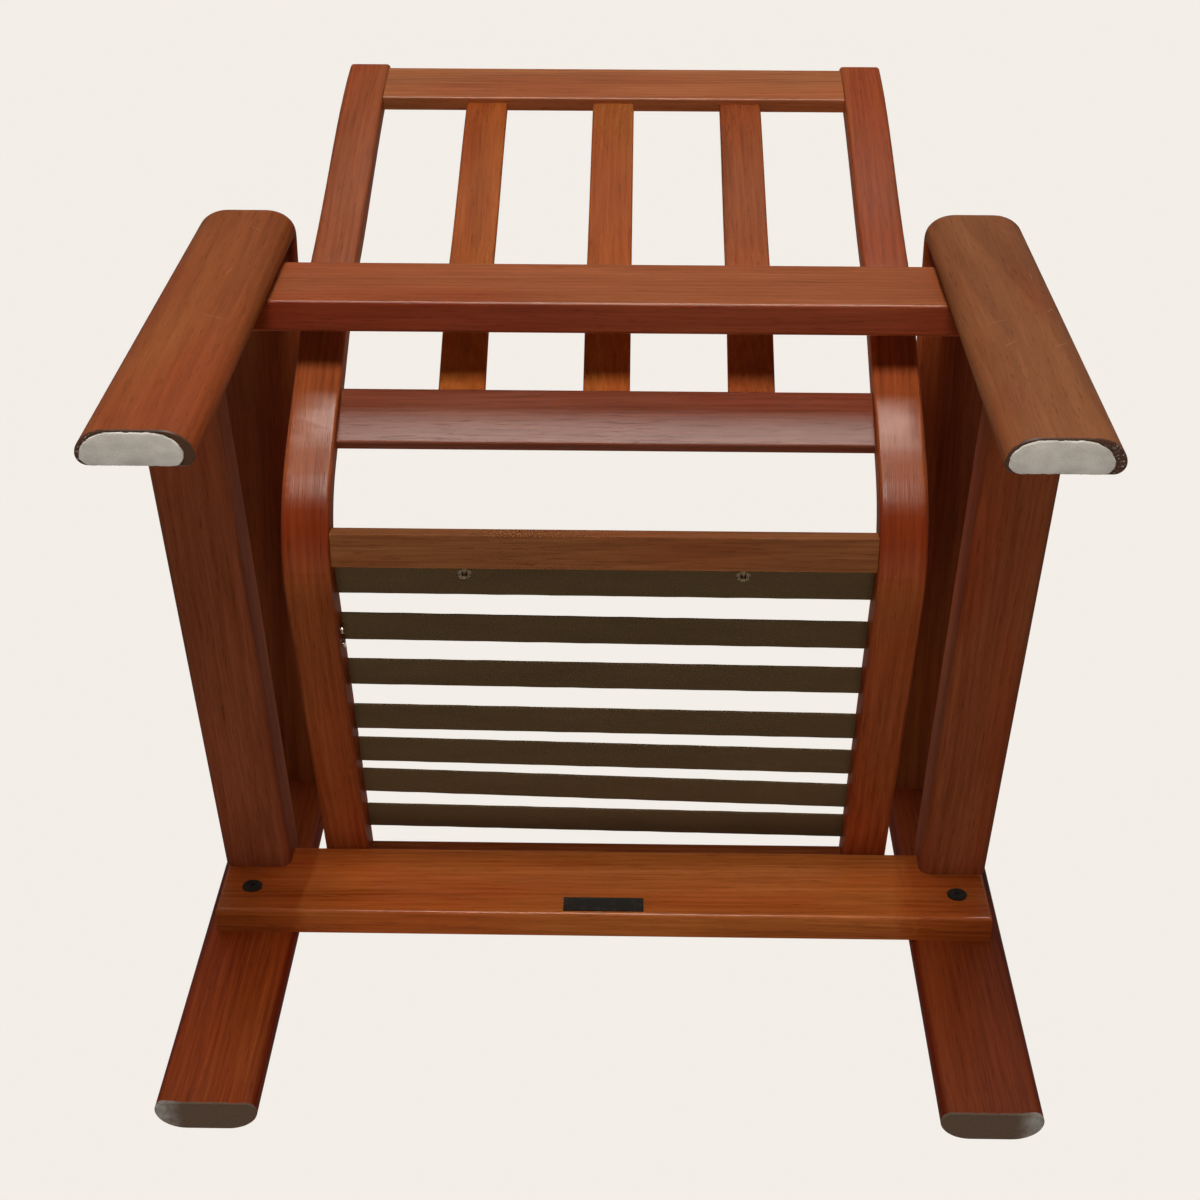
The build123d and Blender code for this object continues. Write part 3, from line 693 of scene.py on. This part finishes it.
@dataclass(frozen=True)
class FeltFinish:
    """Off-white felt, dirty from the floor.

    Attributes:
        clean: Colour of the clean felt.
        dirty: Colour of the dirt.
    """

    clean: Colour = (0.615, 0.580, 0.535)
    dirty: Colour = (0.390, 0.360, 0.325)

    def material(self, name: str) -> Material:
        """Make the felt.

        Args:
            name: Name of the material.

        Returns:
            The material.
        """
        g = MaterialGraph(name)
        place = g.object_place()
        hairs = g.noise(place, (700.0, 700.0, 260.0), 5.0, 0.7)
        patch = g.noise(place, (60.0, 90.0, 60.0), 4.0)
        share = g.plus(g.spread(patch, -0.15, 0.75), g.spread(hairs, -0.25, 0.25))
        g.set(Base_Color=g.mix(share, self.clean, self.dirty), Roughness=0.95)
        g.set(Specular_IOR_Level=0.1, Sheen_Weight=0.2, Sheen_Roughness=0.6)
        g.bump(hairs, 0.7, 0.0006)
        return g.material


@dataclass(frozen=True)
class MetalFinish:
    """Metal with fine scratches and a little dirt.

    Attributes:
        colour: Colour of the clean metal or its paint.
        dirt: Colour of the dirt.
        metallic: 1 for bare metal, 0 for paint.
        gloss: Roughness.
        shine: Specular level.
    """

    colour: Colour
    dirt: Colour
    metallic: float
    gloss: float
    shine: float = 0.5

    def material(self, name: str) -> Material:
        """Make the metal.

        Args:
            name: Name of the material.

        Returns:
            The material.
        """
        g = MaterialGraph(name)
        place = g.object_place()
        scratch = g.noise(place, (60.0, 900.0, 1400.0), 3.0, 0.65)
        grime = g.step(g.noise(place, (150.0, 150.0, 150.0), 4.0), 0.50, 0.75)
        colour = g.mix(g.times(grime, 0.5), self.colour, self.dirt)
        g.set(Base_Color=colour, Metallic=self.metallic, Specular_IOR_Level=self.shine)
        g.set(Roughness=g.spread(scratch, self.gloss - 0.07, self.gloss + 0.08))
        g.bump(scratch, 0.12, 0.0002)
        return g.material


def dress(piece: Piece, material: Material) -> None:
    """Give a piece one material in place of those it has.

    Args:
        piece: The piece.
        material: Its material.
    """
    piece.data.materials.clear()
    piece.data.materials.append(material)
    LOG.info("dressed %s with %s", piece.name, material.name)


def copy_of_node(node: Piece, name: str) -> Piece:
    """Copy a CAD node as a new piece with joined faces.

    Args:
        node: The CAD node.
        name: Name of the new piece.

    Returns:
        The new piece.
    """
    piece = bpy.data.objects.new(name, node.data.copy())
    piece.data.name = name
    bpy.context.scene.collection.objects.link(piece)
    bpy.ops.object.select_all(action="DESELECT")
    piece.select_set(True)
    bpy.context.view_layer.objects.active = piece
    bpy.ops.mesh.customdata_custom_splitnormals_clear()
    bpy.ops.object.mode_set(mode="EDIT")
    bpy.ops.mesh.select_all(action="SELECT")
    bpy.ops.mesh.remove_doubles(threshold=1e-6)
    bpy.ops.object.mode_set(mode="OBJECT")
    return piece


class EdgeLine:
    """Smooth line along the rear and lower edge of the bent members, in the YZ plane."""

    def __init__(self, samples: int = 900) -> None:
        """Lay the line through its points and on to the front of the seat.

        Args:
            samples: Number of samples along the bent part.
        """
        knots = np.array(EDGE_LINE)
        spans = np.linalg.norm(np.diff(knots, axis=0), axis=1)
        times = np.concatenate(([0.0], np.cumsum(spans)))
        start = np.array(EDGE_TOP_TANGENT)
        end = np.array(SEAT_FRONT) - knots[-1]
        slopes = self.slopes(knots, spans, start / np.linalg.norm(start), end / np.linalg.norm(end))
        values = np.linspace(0.0, times[-1], samples)
        which = np.clip(np.searchsorted(times, values, side="right") - 1, 0, len(spans) - 1)
        h = spans[which][:, None]
        t = ((values - times[which]) / spans[which])[:, None]
        bent = (
            (2 * t**3 - 3 * t**2 + 1) * knots[which]
            + (t**3 - 2 * t**2 + t) * h * slopes[which]
            + (3 * t**2 - 2 * t**3) * knots[which + 1]
            + (t**3 - t**2) * h * slopes[which + 1]
        )
        seat = np.linspace(knots[-1], np.array(SEAT_FRONT), samples // 3)[1:]
        self.points = np.concatenate((bent, seat))
        self.steps = np.diff(self.points, axis=0)
        self.lengths = np.concatenate(([0.0], np.cumsum(np.linalg.norm(self.steps, axis=1))))

    @staticmethod
    def slopes(knots: np.ndarray, spans: np.ndarray, start: np.ndarray, end: np.ndarray) -> np.ndarray:
        """Slopes at the points of a cubic line with even curvature.

        Args:
            knots: Points of the line.
            spans: Distances between them.
            start: Slope at the first point.
            end: Slope at the last point.

        Returns:
            One slope for each point.
        """
        count = len(knots)
        matrix = np.eye(count)
        right = np.zeros_like(knots)
        right[0], right[-1] = start, end
        for i in range(1, count - 1):
            before, after = spans[i - 1], spans[i]
            matrix[i, i - 1 : i + 2] = (after, 2 * (before + after), before)
            right[i] = 3 * (
                after / before * (knots[i] - knots[i - 1]) + before / after * (knots[i + 1] - knots[i])
            )
        return np.linalg.solve(matrix, right)

    def at(self, length: float) -> tuple[Vector, Vector]:
        """Point and direction at a length along the line.

        Args:
            length: Length from the top of the back.

        Returns:
            The point and the unit direction, with x at 0.
        """
        i = min(int(np.searchsorted(self.lengths, length, side="right")) - 1, len(self.steps) - 1)
        step = self.steps[i] / np.linalg.norm(self.steps[i])
        point = self.points[i] + step * (length - self.lengths[i])
        return Vector((0.0, point[0], point[1])), Vector((0.0, step[0], step[1]))

    def lay(self, places: np.ndarray) -> np.ndarray:
        """Length along the line and depth from it for points of the YZ plane.

        Args:
            places: Points, one per row.

        Returns:
            Length and depth, one pair per row.
        """
        laid = np.zeros_like(places)
        for row, place in enumerate(places):
            near = int(np.argmin(((self.points - place) ** 2).sum(axis=1)))
            i = min(near, len(self.steps) - 1)
            step = self.steps[i] / np.linalg.norm(self.steps[i])
            off = place - self.points[i]
            laid[row] = (self.lengths[i] + off @ step, off[0] * step[1] - off[1] * step[0])
        return laid


@dataclass
class BentMember:
    """One bent side of the seat frame, with its grain along the bend.

    Attributes:
        node: CAD node that the piece stands for.
        cuts: Lengths along the edge line where the mesh is divided.
    """

    node: str
    cuts: list[float] = field(
        default_factory=lambda: [0.05 * i for i in range(1, 8)] + [0.38 + 0.011 * i for i in range(34)]
    )

    def build(self, nodes: Nodes, line: EdgeLine) -> Piece:
        """Divide a copy of the node across the bend and lay the grain on it.

        Args:
            nodes: CAD nodes by name.
            line: Edge line of the member.

        Returns:
            The new piece.
        """
        piece = copy_of_node(nodes[self.node], f"{self.node}_bent")
        bpy.ops.object.mode_set(mode="EDIT")
        for length in self.cuts:
            point, direction = line.at(length)
            bpy.ops.mesh.select_all(action="SELECT")
            bpy.ops.mesh.bisect(plane_co=point, plane_no=direction)
        bpy.ops.object.mode_set(mode="OBJECT")
        bpy.ops.object.shade_smooth_by_angle(angle=math.radians(32.0))
        self.lay_grain(piece, line)
        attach(piece, ROOT)
        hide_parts(self.node)
        return piece

    def lay_grain(self, piece: Piece, line: EdgeLine) -> None:
        """Write board coordinates: length along the bend, width and depth.

        Args:
            piece: The member.
            line: Its edge line.
        """
        places = np.array([v.co for v in piece.data.vertices])
        laid = line.lay(places[:, 1:])
        board = np.column_stack((laid[:, 0], places[:, 0], laid[:, 1])).astype(np.float32)
        attribute = piece.data.attributes.new("board", "FLOAT_VECTOR", "POINT")
        attribute.data.foreach_set("vector", board.ravel())


@dataclass
class Strap:
    """One webbing strap stretched across the seat.

    Attributes:
        number: Number of the strap, from the rear.
        length_along: Its place along the edge line.
        skew: Turn of the strap in its own plane.
        depth: Distance of its middle from the edge line.
        half_span: Half its free length.
        width: Its width.
        thick: Its thickness.
    """

    number: int
    length_along: float
    skew: float
    depth: float = 0.028
    half_span: float = 0.2375
    width: float = 0.034
    thick: float = 0.0021

    def build(self, line: EdgeLine) -> tuple[Piece, float]:
        """Model the strap with cupped, wavy selvedges and slight ripples.

        Args:
            line: Edge line of the seat frame.

        Returns:
            The strap and its slope about X.
        """
        point, direction = line.at(self.length_along)
        normal = Vector((0.0, direction.z, -direction.y))
        slope = math.atan2(-direction.z, -direction.y)
        bpy.ops.object.select_all(action="DESELECT")
        bpy.ops.mesh.primitive_grid_add(
            x_subdivisions=64, y_subdivisions=12, size=1.0, location=(0.0, 0.0, 0.0)
        )
        piece = bpy.context.active_object
        piece.name = piece.data.name = f"webbing_{self.number}"
        bpy.ops.object.mode_set(mode="EDIT")
        bpy.ops.mesh.select_all(action="SELECT")
        bpy.ops.transform.resize(value=(2 * self.half_span, self.width, 1.0))
        bpy.ops.object.mode_set(mode="OBJECT")
        for vertex in piece.data.vertices:
            vertex.co = self.shaped(vertex.co)
        for kind, settings in (
            ("SOLIDIFY", {"thickness": self.thick, "offset": 0.0}),
            ("BEVEL", {"width": 0.0006, "segments": 2, "limit_method": "ANGLE"}),
        ):
            modifier = piece.modifiers.new(kind.lower(), kind)
            for key, value in settings.items():
                setattr(modifier, key, value)
            bpy.ops.object.modifier_apply(modifier=modifier.name)
        turn = Matrix.Rotation(slope, 4, "X") @ Matrix.Rotation(math.radians(self.skew), 4, "Z")
        piece.data.transform(Matrix.Translation(point + normal * self.depth) @ turn)
        bpy.ops.object.shade_smooth_by_angle(angle=math.radians(40.0))
        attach(piece, ROOT)
        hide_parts(f"webbing_strap_{self.number}")
        return piece, math.degrees(slope)

    def shaped(self, place: Vector) -> Vector:
        """Move a point of the flat band to its place on the strap.

        Args:
            place: Point of the flat band.

        Returns:
            The new point.
        """
        across = place.y / (self.width / 2)
        along = place.x / self.half_span
        free = 1.0 - along**8
        ripple = 0.00008 * math.sin(23.0 * along + 1.7 * self.number) + 0.00005 * math.sin(61.0 * along)
        cup = 0.00035 * (across * across - 0.4)
        edge = 0.00012 * math.sin(31.0 * along + 2.3 * self.number) * math.copysign(across**6, across)
        return Vector((place.x, place.y + edge * free, (ripple + cup) * free))


@dataclass
class FeltPad:
    """Felt pad under a rear foot, with a soft ragged rim.

    Attributes:
        node: CAD node that the pad stands for.
        half_width: Half the pad's width.
        flat_corner: Width and depth of the corners at the flat side.
        crown_corner: Width and depth of the corners at the crowned side.
        points: Number of points around the pad.
        ragged: How far the rim wavers.
        soft_rim: Width of the rounded rims.
    """

    node: str
    half_width: float = 0.0375
    flat_corner: Pair = (0.0090, 0.0078)
    crown_corner: Pair = (0.0260, 0.0178)
    points: int = 240
    ragged: float = 0.0005
    soft_rim: float = 0.0007

    def outline(self) -> np.ndarray:
        """Evenly spaced points around the pad, from the middle of its flat side.

        Returns:
            Points with y at 0 on the flat side.
        """
        turn = np.linspace(0.0, math.pi / 2, 40)
        (flat_w, flat_d), (crown_w, crown_d) = self.flat_corner, self.crown_corner
        sin, cos = np.sin(turn), np.cos(turn)
        low = np.column_stack((self.half_width - flat_w * (1 - sin), flat_d * (1 - cos)))
        high = np.column_stack((self.half_width - crown_w * (1 - cos), flat_d + crown_d * sin))
        right = np.concatenate(([(0.0, 0.0)], low, high, [(0.0, flat_d + crown_d)]))
        ring = np.concatenate((right, right[-2:0:-1] * (-1.0, 1.0), right[:1]))
        lengths = np.concatenate(([0.0], np.cumsum(np.linalg.norm(np.diff(ring, axis=0), axis=1))))
        even = np.linspace(0.0, lengths[-1], self.points, endpoint=False)
        return np.column_stack([np.interp(even, lengths, ring[:, axis]) for axis in (0, 1)])

    def build(self) -> Piece:
        """Shape a disc to the pad's outline and soften its rims.

        Returns:
            The new piece.
        """
        low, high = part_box(self.node)
        bpy.ops.object.select_all(action="DESELECT")
        bpy.ops.mesh.primitive_cylinder_add(
            vertices=self.points, radius=self.half_width, depth=high.z - low.z, location=(0.0, 0.0, 0.0)
        )
        piece = bpy.context.active_object
        piece.name = piece.data.name = f"{self.node}_soft"
        outline = self.outline()
        middle = (low + high) / 2
        for vertex in piece.data.vertices:
            angle = math.atan2(vertex.co.x, -vertex.co.y)
            x, y = outline[round(angle / (2 * math.pi) * self.points) % self.points]
            y -= middle.y - low.y
            waver = math.sin(17.0 * angle) + 0.7 * math.sin(29.0 * angle + 1.3)
            waver += 0.5 * math.sin(53.0 * angle)
            pull = 1.0 - self.ragged * (1.0 + 0.4 * waver) / math.hypot(x, y)
            vertex.co = middle + Vector((x * pull, y * pull, vertex.co.z))
        bpy.ops.object.mode_set(mode="EDIT")
        bpy.ops.mesh.select_mode(type="EDGE")
        bpy.ops.mesh.select_all(action="DESELECT")
        bpy.ops.mesh.edges_select_sharp(sharpness=math.radians(60.0))
        bpy.ops.mesh.bevel(offset=self.soft_rim, segments=3, affect="EDGES")
        bpy.ops.object.mode_set(mode="OBJECT")
        bpy.ops.object.shade_smooth_by_angle(angle=math.radians(40.0))
        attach(piece, ROOT)
        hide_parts(self.node)
        return piece


# How each straight board was cut, has aged and gets painted shade, by CAD node
BOARDS = {
    # Front legs: painted shade on their rounded sides
    "left_front_leg": Board(
        Grain.HEIGHT, (0.185, 0.035, 0.006), (0.3, 0.1, 1.7), 0.25, 0.36,
        painted_shade=PaintedShade.SIDES, wear=FootWear.BARE,
    ),
    "right_front_leg": Board(
        Grain.HEIGHT, (0.138, 0.024, 0.005), (1.9, 0.4, 0.2), 0.28, 0.24,
        painted_shade=PaintedShade.SIDES, wear=FootWear.BARE,
    ),
    "left_rear_leg": Board(
        Grain.HEIGHT, (0.225, 0.059, 0.014), (0.9, 2.1, 0.6), 0.22, 0.10,
        scratches=0.35, wear=FootWear.PADDED,
    ),
    "right_rear_leg": Board(
        Grain.HEIGHT, (0.215, 0.074, 0.026), (2.6, 1.2, 1.1), 0.16, 0.10,
        figure=0.13, rings=55.0, heart=(0.33, -0.25), tilt=0.10, scratches=0.35, wear=FootWear.PADDED,
    ),
    "left_armrest": Board(Grain.DEPTH, (0.250, 0.066, 0.018), (0.2, 1.6, 2.2), lines=0.2),
    "right_armrest": Board(Grain.DEPTH, (0.250, 0.066, 0.018), (1.4, 0.3, 1.9), lines=0.2),
    "left_side_rail": Board(Grain.SIDE_SLOPE, (0.245, 0.064, 0.026), (0.7, 0.9, 0.8), 0.18, 0.15, coat=0.03),
    "right_side_rail": Board(Grain.SIDE_SLOPE, (0.260, 0.068, 0.024), (2.2, 1.8, 0.1), 0.18, 0.15, coat=0.03),
    # Front rail: painted shade at its ends next to the side rails
    "front_rail": Board(
        Grain.WIDTH, (0.350, 0.096, 0.019), (1.1, 0.7, 2.4), 0.30, 0.22,
        gloss=0.22, coat=0.12, scratches=0.2, painted_shade=PaintedShade.ENDS,
    ),
    # Rear rail: painted shade on its underside
    "rear_rail": Board(Grain.WIDTH, (0.275, 0.076, 0.025), (0.4, 1.3, 0.5), 0.18, 0.17, painted_shade=PaintedShade.UNDER),
    "back_top_rail": Board(Grain.WIDTH, (0.335, 0.120, 0.045), (2.9, 0.2, 1.4), 0.24, 0.17),
    "back_lower_rail": Board(Grain.WIDTH, (0.165, 0.045, 0.022), (1.6, 2.5, 0.9), 0.22, 0.26, coat=0.075),
    "seat_rear_rail": Board(Grain.WIDTH, (0.205, 0.070, 0.021), (0.8, 1.5, 2.7), 0.22, 0.20),
    "seat_front_rail": Board(Grain.WIDTH, (0.170, 0.042, 0.012), (2.3, 0.6, 0.3), coat=0.0),
    "left_slat": Board(Grain.BACK_LEAN, (0.318, 0.084, 0.015), (0.6, 2.2, 1.2), 0.22, 0.17, coat=0.04),
    "middle_slat": Board(Grain.BACK_LEAN, (0.320, 0.090, 0.018), (1.5, 0.8, 2.0), 0.22, 0.17, coat=0.04),
    "right_slat": Board(Grain.BACK_LEAN, (0.270, 0.066, 0.017), (2.4, 1.7, 0.7), 0.22, 0.17, coat=0.04),
}


@dataclass
class WoodenBoards:
    """All straight boards of the frame.

    Attributes:
        boards: How each board was cut, by CAD node.
    """

    boards: dict[str, Board] = field(default_factory=lambda: BOARDS)

    def dress(self, nodes: Nodes, wood: WoodFinish) -> None:
        """Give every board its own wood.

        Args:
            nodes: CAD nodes by name.
            wood: The finish.
        """
        for node, board in self.boards.items():
            dress(nodes[node], wood.material(f"wood_{node}", board))


# Finish of each metal and the CAD nodes that have it
METALS = {
    "black_bolt": (
        MetalFinish((0.012, 0.011, 0.010), (0.05, 0.04, 0.03), 0.0, 0.38, 0.15),
        ("front_rail_bolts", "rear_rail_bolts"),
    ),
    "black_plate": (
        MetalFinish((0.014, 0.012, 0.010), (0.045, 0.036, 0.026), 0.0, 0.42, 0.08),
        ("blank_plate",),
    ),
    "aged_brass": (MetalFinish((0.17, 0.13, 0.07), (0.02, 0.015, 0.01), 1.0, 0.28), ("press_studs",)),
    "dull_steel": (MetalFinish((0.36, 0.32, 0.27), (0.10, 0.08, 0.06), 1.0, 0.30), ("member_screws",)),
    "zinc_steel": (
        MetalFinish((0.46, 0.45, 0.42), (0.16, 0.14, 0.12), 1.0, 0.45),
        ("webbing_clips", "leg_inserts", "frame_screws"),
    ),
}


@dataclass
class Hardware:
    """Metal pieces and the wood hidden inside the joints.

    Attributes:
        finishes: Finish of each group of CAD nodes.
        hidden_wood: CAD nodes of bare wood inside the joints.
        raw_colour: Colour of the bare wood.
    """

    finishes: dict[str, tuple[MetalFinish, tuple[str, ...]]] = field(default_factory=lambda: METALS)
    hidden_wood: tuple[str, ...] = ("corner_tongues", "side_rail_dowels", "frame_dowels")
    raw_colour: Colour = (0.58, 0.38, 0.20)

    def dress(self, nodes: Nodes) -> None:
        """Give every metal piece and hidden wooden piece its finish.

        Args:
            nodes: CAD nodes by name.
        """
        for name, (finish, members) in self.finishes.items():
            material = finish.material(name)
            for node in members:
                dress(nodes[node], material)
        raw = WoodFinish()
        for i, node in enumerate(self.hidden_wood):
            board = Board(Grain.WIDTH, self.raw_colour, (0.5 * i, 1.0, 0.3), coat=0.0)
            dress(nodes[node], raw.material(f"raw_{node}", board))


@dataclass(frozen=True)
class Lamp:
    """Rectangular area lamp.

    Attributes:
        name: Name of the lamp.
        place: Its place.
        size: Its width and height.
        power: Its power in watts.
        aim: Point that it faces.
        gloss_only: Whether it shows in reflections alone.
        colour: Colour of its light.
    """

    name: str
    place: Triple
    size: Pair
    power: float
    aim: Triple = (0.0, 0.1, 0.30)
    gloss_only: bool = False
    colour: Colour = (1.0, 0.95, 0.88)

    def build(self) -> None:
        """Hang the lamp and turn it to the point that it faces."""
        data = bpy.data.lights.new(self.name, "AREA")
        data.shape = "RECTANGLE"
        data.size, data.size_y = self.size
        data.energy = self.power
        data.color = self.colour
        lamp = bpy.data.objects.new(self.name, data)
        lamp.location = self.place
        facing = Vector(self.aim) - Vector(self.place)
        lamp.rotation_euler = facing.to_track_quat("-Z", "Y").to_euler()
        bpy.context.scene.collection.objects.link(lamp)
        if self.gloss_only:
            lamp.visible_diffuse = False
        LOG.info("hung lamp %s", self.name)


@dataclass(frozen=True)
class Studio:
    """Pale floor, soft lamps and the camera.

    Attributes:
        cream: Colour of the background.
        eye: Place of the camera.
        right: Direction of the image's right.
        up: Direction of the image's top.
        lens: Focal length for the sensor, in millimetres.
        sensor: Width of the sensor, in millimetres.
        sky_rise: Heights of the direction between which the soft light grows.
        sky_light: Soft light from below and from above.
        sky_colour: Colour of the soft light.
        floor_size: Side of the floor.
        floor_drop: Depth of the floor under the feet.
        floor_fade: Distances over which the floor fades into the background.
        lamps: The lamps.
    """

    cream: Colour = (0.896, 0.855, 0.799)
    eye: Triple = (-0.0268, 0.9055, -1.3854)
    right: Triple = (-0.9998, 0.0012, 0.0192)
    up: Triple = (0.0102, 0.8817, 0.4722)
    lens: float = 65.07
    sensor: float = 36.0
    sky_rise: Pair = (-0.1, 0.7)
    sky_light: Pair = (0.03, 0.70)
    sky_colour: Colour = (1.0, 0.97, 0.93)
    floor_size: float = 14.0
    floor_drop: float = 0.0004
    floor_fade: Pair = (0.6, 2.2)
    lamps: tuple[Lamp, ...] = (
        Lamp("key", (0.10, 3.00, -0.80), (0.9, 0.9), 76.0),
        Lamp("low_fill", (0.0, -0.30, -1.70), (1.4, 1.4), 15.0),
        Lamp("front_soft", (0.40, -3.20, 1.50), (1.8, 1.8), 75.0),
        Lamp("gloss_panel", (-0.10, 2.10, 0.90), (1.6, 0.75), 430.0, (0.0, 0.2, 0.36), gloss_only=True),
        Lamp("edge_gloss", (0.10, 3.02, -0.81), (0.9, 0.9), 300.0, gloss_only=True),
    )

    def build(self) -> None:
        """Set up the whole studio."""
        self.camera()
        self.world()
        self.floor()
        for lamp in self.lamps:
            lamp.build()

    def camera(self) -> None:
        """Place the camera at the photograph's viewpoint."""
        right, up = Vector(self.right).normalized(), Vector(self.up).normalized()
        back = right.cross(up).normalized()
        turn = Matrix((right, back.cross(right), back)).transposed().to_4x4()
        data = bpy.data.cameras.new("camera")
        data.lens = self.lens
        data.sensor_width = self.sensor
        data.clip_end = 50.0
        camera = bpy.data.objects.new("camera", data)
        camera.matrix_world = Matrix.Translation(Vector(self.eye)) @ turn
        bpy.context.scene.collection.objects.link(camera)
        bpy.context.scene.camera = camera

    def world(self) -> None:
        """Pale background for the camera and reflections, soft light for the rest."""
        world = bpy.data.worlds.new("studio")
        bpy.context.scene.world = world
        g = Graph(world)
        seen, soft = g.node("ShaderNodeBackground"), g.node("ShaderNodeBackground")
        height = g.parts(g.node("ShaderNodeTexCoord").outputs["Generated"])[2]
        light = g.ranged("SMOOTHSTEP", height, *self.sky_rise, *self.sky_light)
        g.fill(seen, Color=self.cream)
        g.fill(soft, Color=self.sky_colour, Strength=light)
        path = g.node("ShaderNodeLightPath").outputs
        share = path["Is Camera Ray"]
        for name in ("Is Glossy Ray", "Is Transmission Ray"):
            share = g.math("MAXIMUM", share, path[name])
        output = g.node("ShaderNodeOutputWorld")
        g.feed(output.inputs["Surface"], g.mix_shaders(share, soft, seen))

    def floor(self) -> None:
        """Pale floor under the feet, open to light and to views from below."""
        bpy.ops.object.select_all(action="DESELECT")
        bpy.ops.mesh.primitive_plane_add(size=self.floor_size, location=(0.0, 0.0, -self.floor_drop))
        floor = bpy.context.active_object
        floor.name = "floor"
        bpy.ops.object.transform_apply(location=True, rotation=True, scale=True)
        g = MaterialGraph("pale_floor")
        g.set(Base_Color=self.cream, Roughness=0.9, Specular_IOR_Level=0.0)
        path = g.node("ShaderNodeLightPath").outputs
        open_to = g.node("ShaderNodeNewGeometry").outputs["Backfacing"]
        for name in ("Is Shadow Ray", "Is Diffuse Ray"):
            open_to = g.math("MAXIMUM", open_to, path[name])
        x, y, _ = g.parts(g.object_place())
        far = g.math("SQRT", g.plus(g.times(x, x), g.times(y, y)))
        open_to = g.math("MAXIMUM", open_to, g.step(far, *self.floor_fade))
        clear = g.node("ShaderNodeBsdfTransparent")
        g.feed(g.output.inputs["Surface"], g.mix_shaders(open_to, g.shader, clear))
        floor.data.materials.append(g.material)


def main() -> None:
    """Build and dress the chair frame in order and set up the studio."""
    logging.basicConfig(level=logging.INFO, format="%(name)s: %(message)s")
    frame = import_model()
    bpy.context.scene.view_settings.view_transform = "Standard"
    nodes = frame["nodes"]
    wood = WoodFinish()
    line = EdgeLine()
    WoodenBoards().dress(nodes, wood)
    for node, shift in (("left_member", (0.4, 0.3, 0.2)), ("right_member", (1.7, 1.1, 0.6))):
        # Bent members: painted shade over the lower part of the bend
        board = Board(
            Grain.BENT, (0.270, 0.064, 0.017), shift, 0.20, 0.22, coat=0.08, painted_shade=PaintedShade.BEND
        )
        dress(BentMember(node).build(nodes, line), wood.material(f"wood_{node}", board))
    webbing = WebbingFinish()
    for number, (place, skew) in enumerate(STRAPS, start=1):
        piece, slope = Strap(number, place, skew).build(line)
        dress(piece, webbing.material(f"weave_{number}", -slope))
    felt = FeltFinish()
    for node in ("left_felt_pad", "right_felt_pad"):
        dress(FeltPad(node).build(), felt.material(f"felt_{node}"))
    Hardware().dress(nodes)
    Studio().build()


if __name__ == "__main__":
    main()
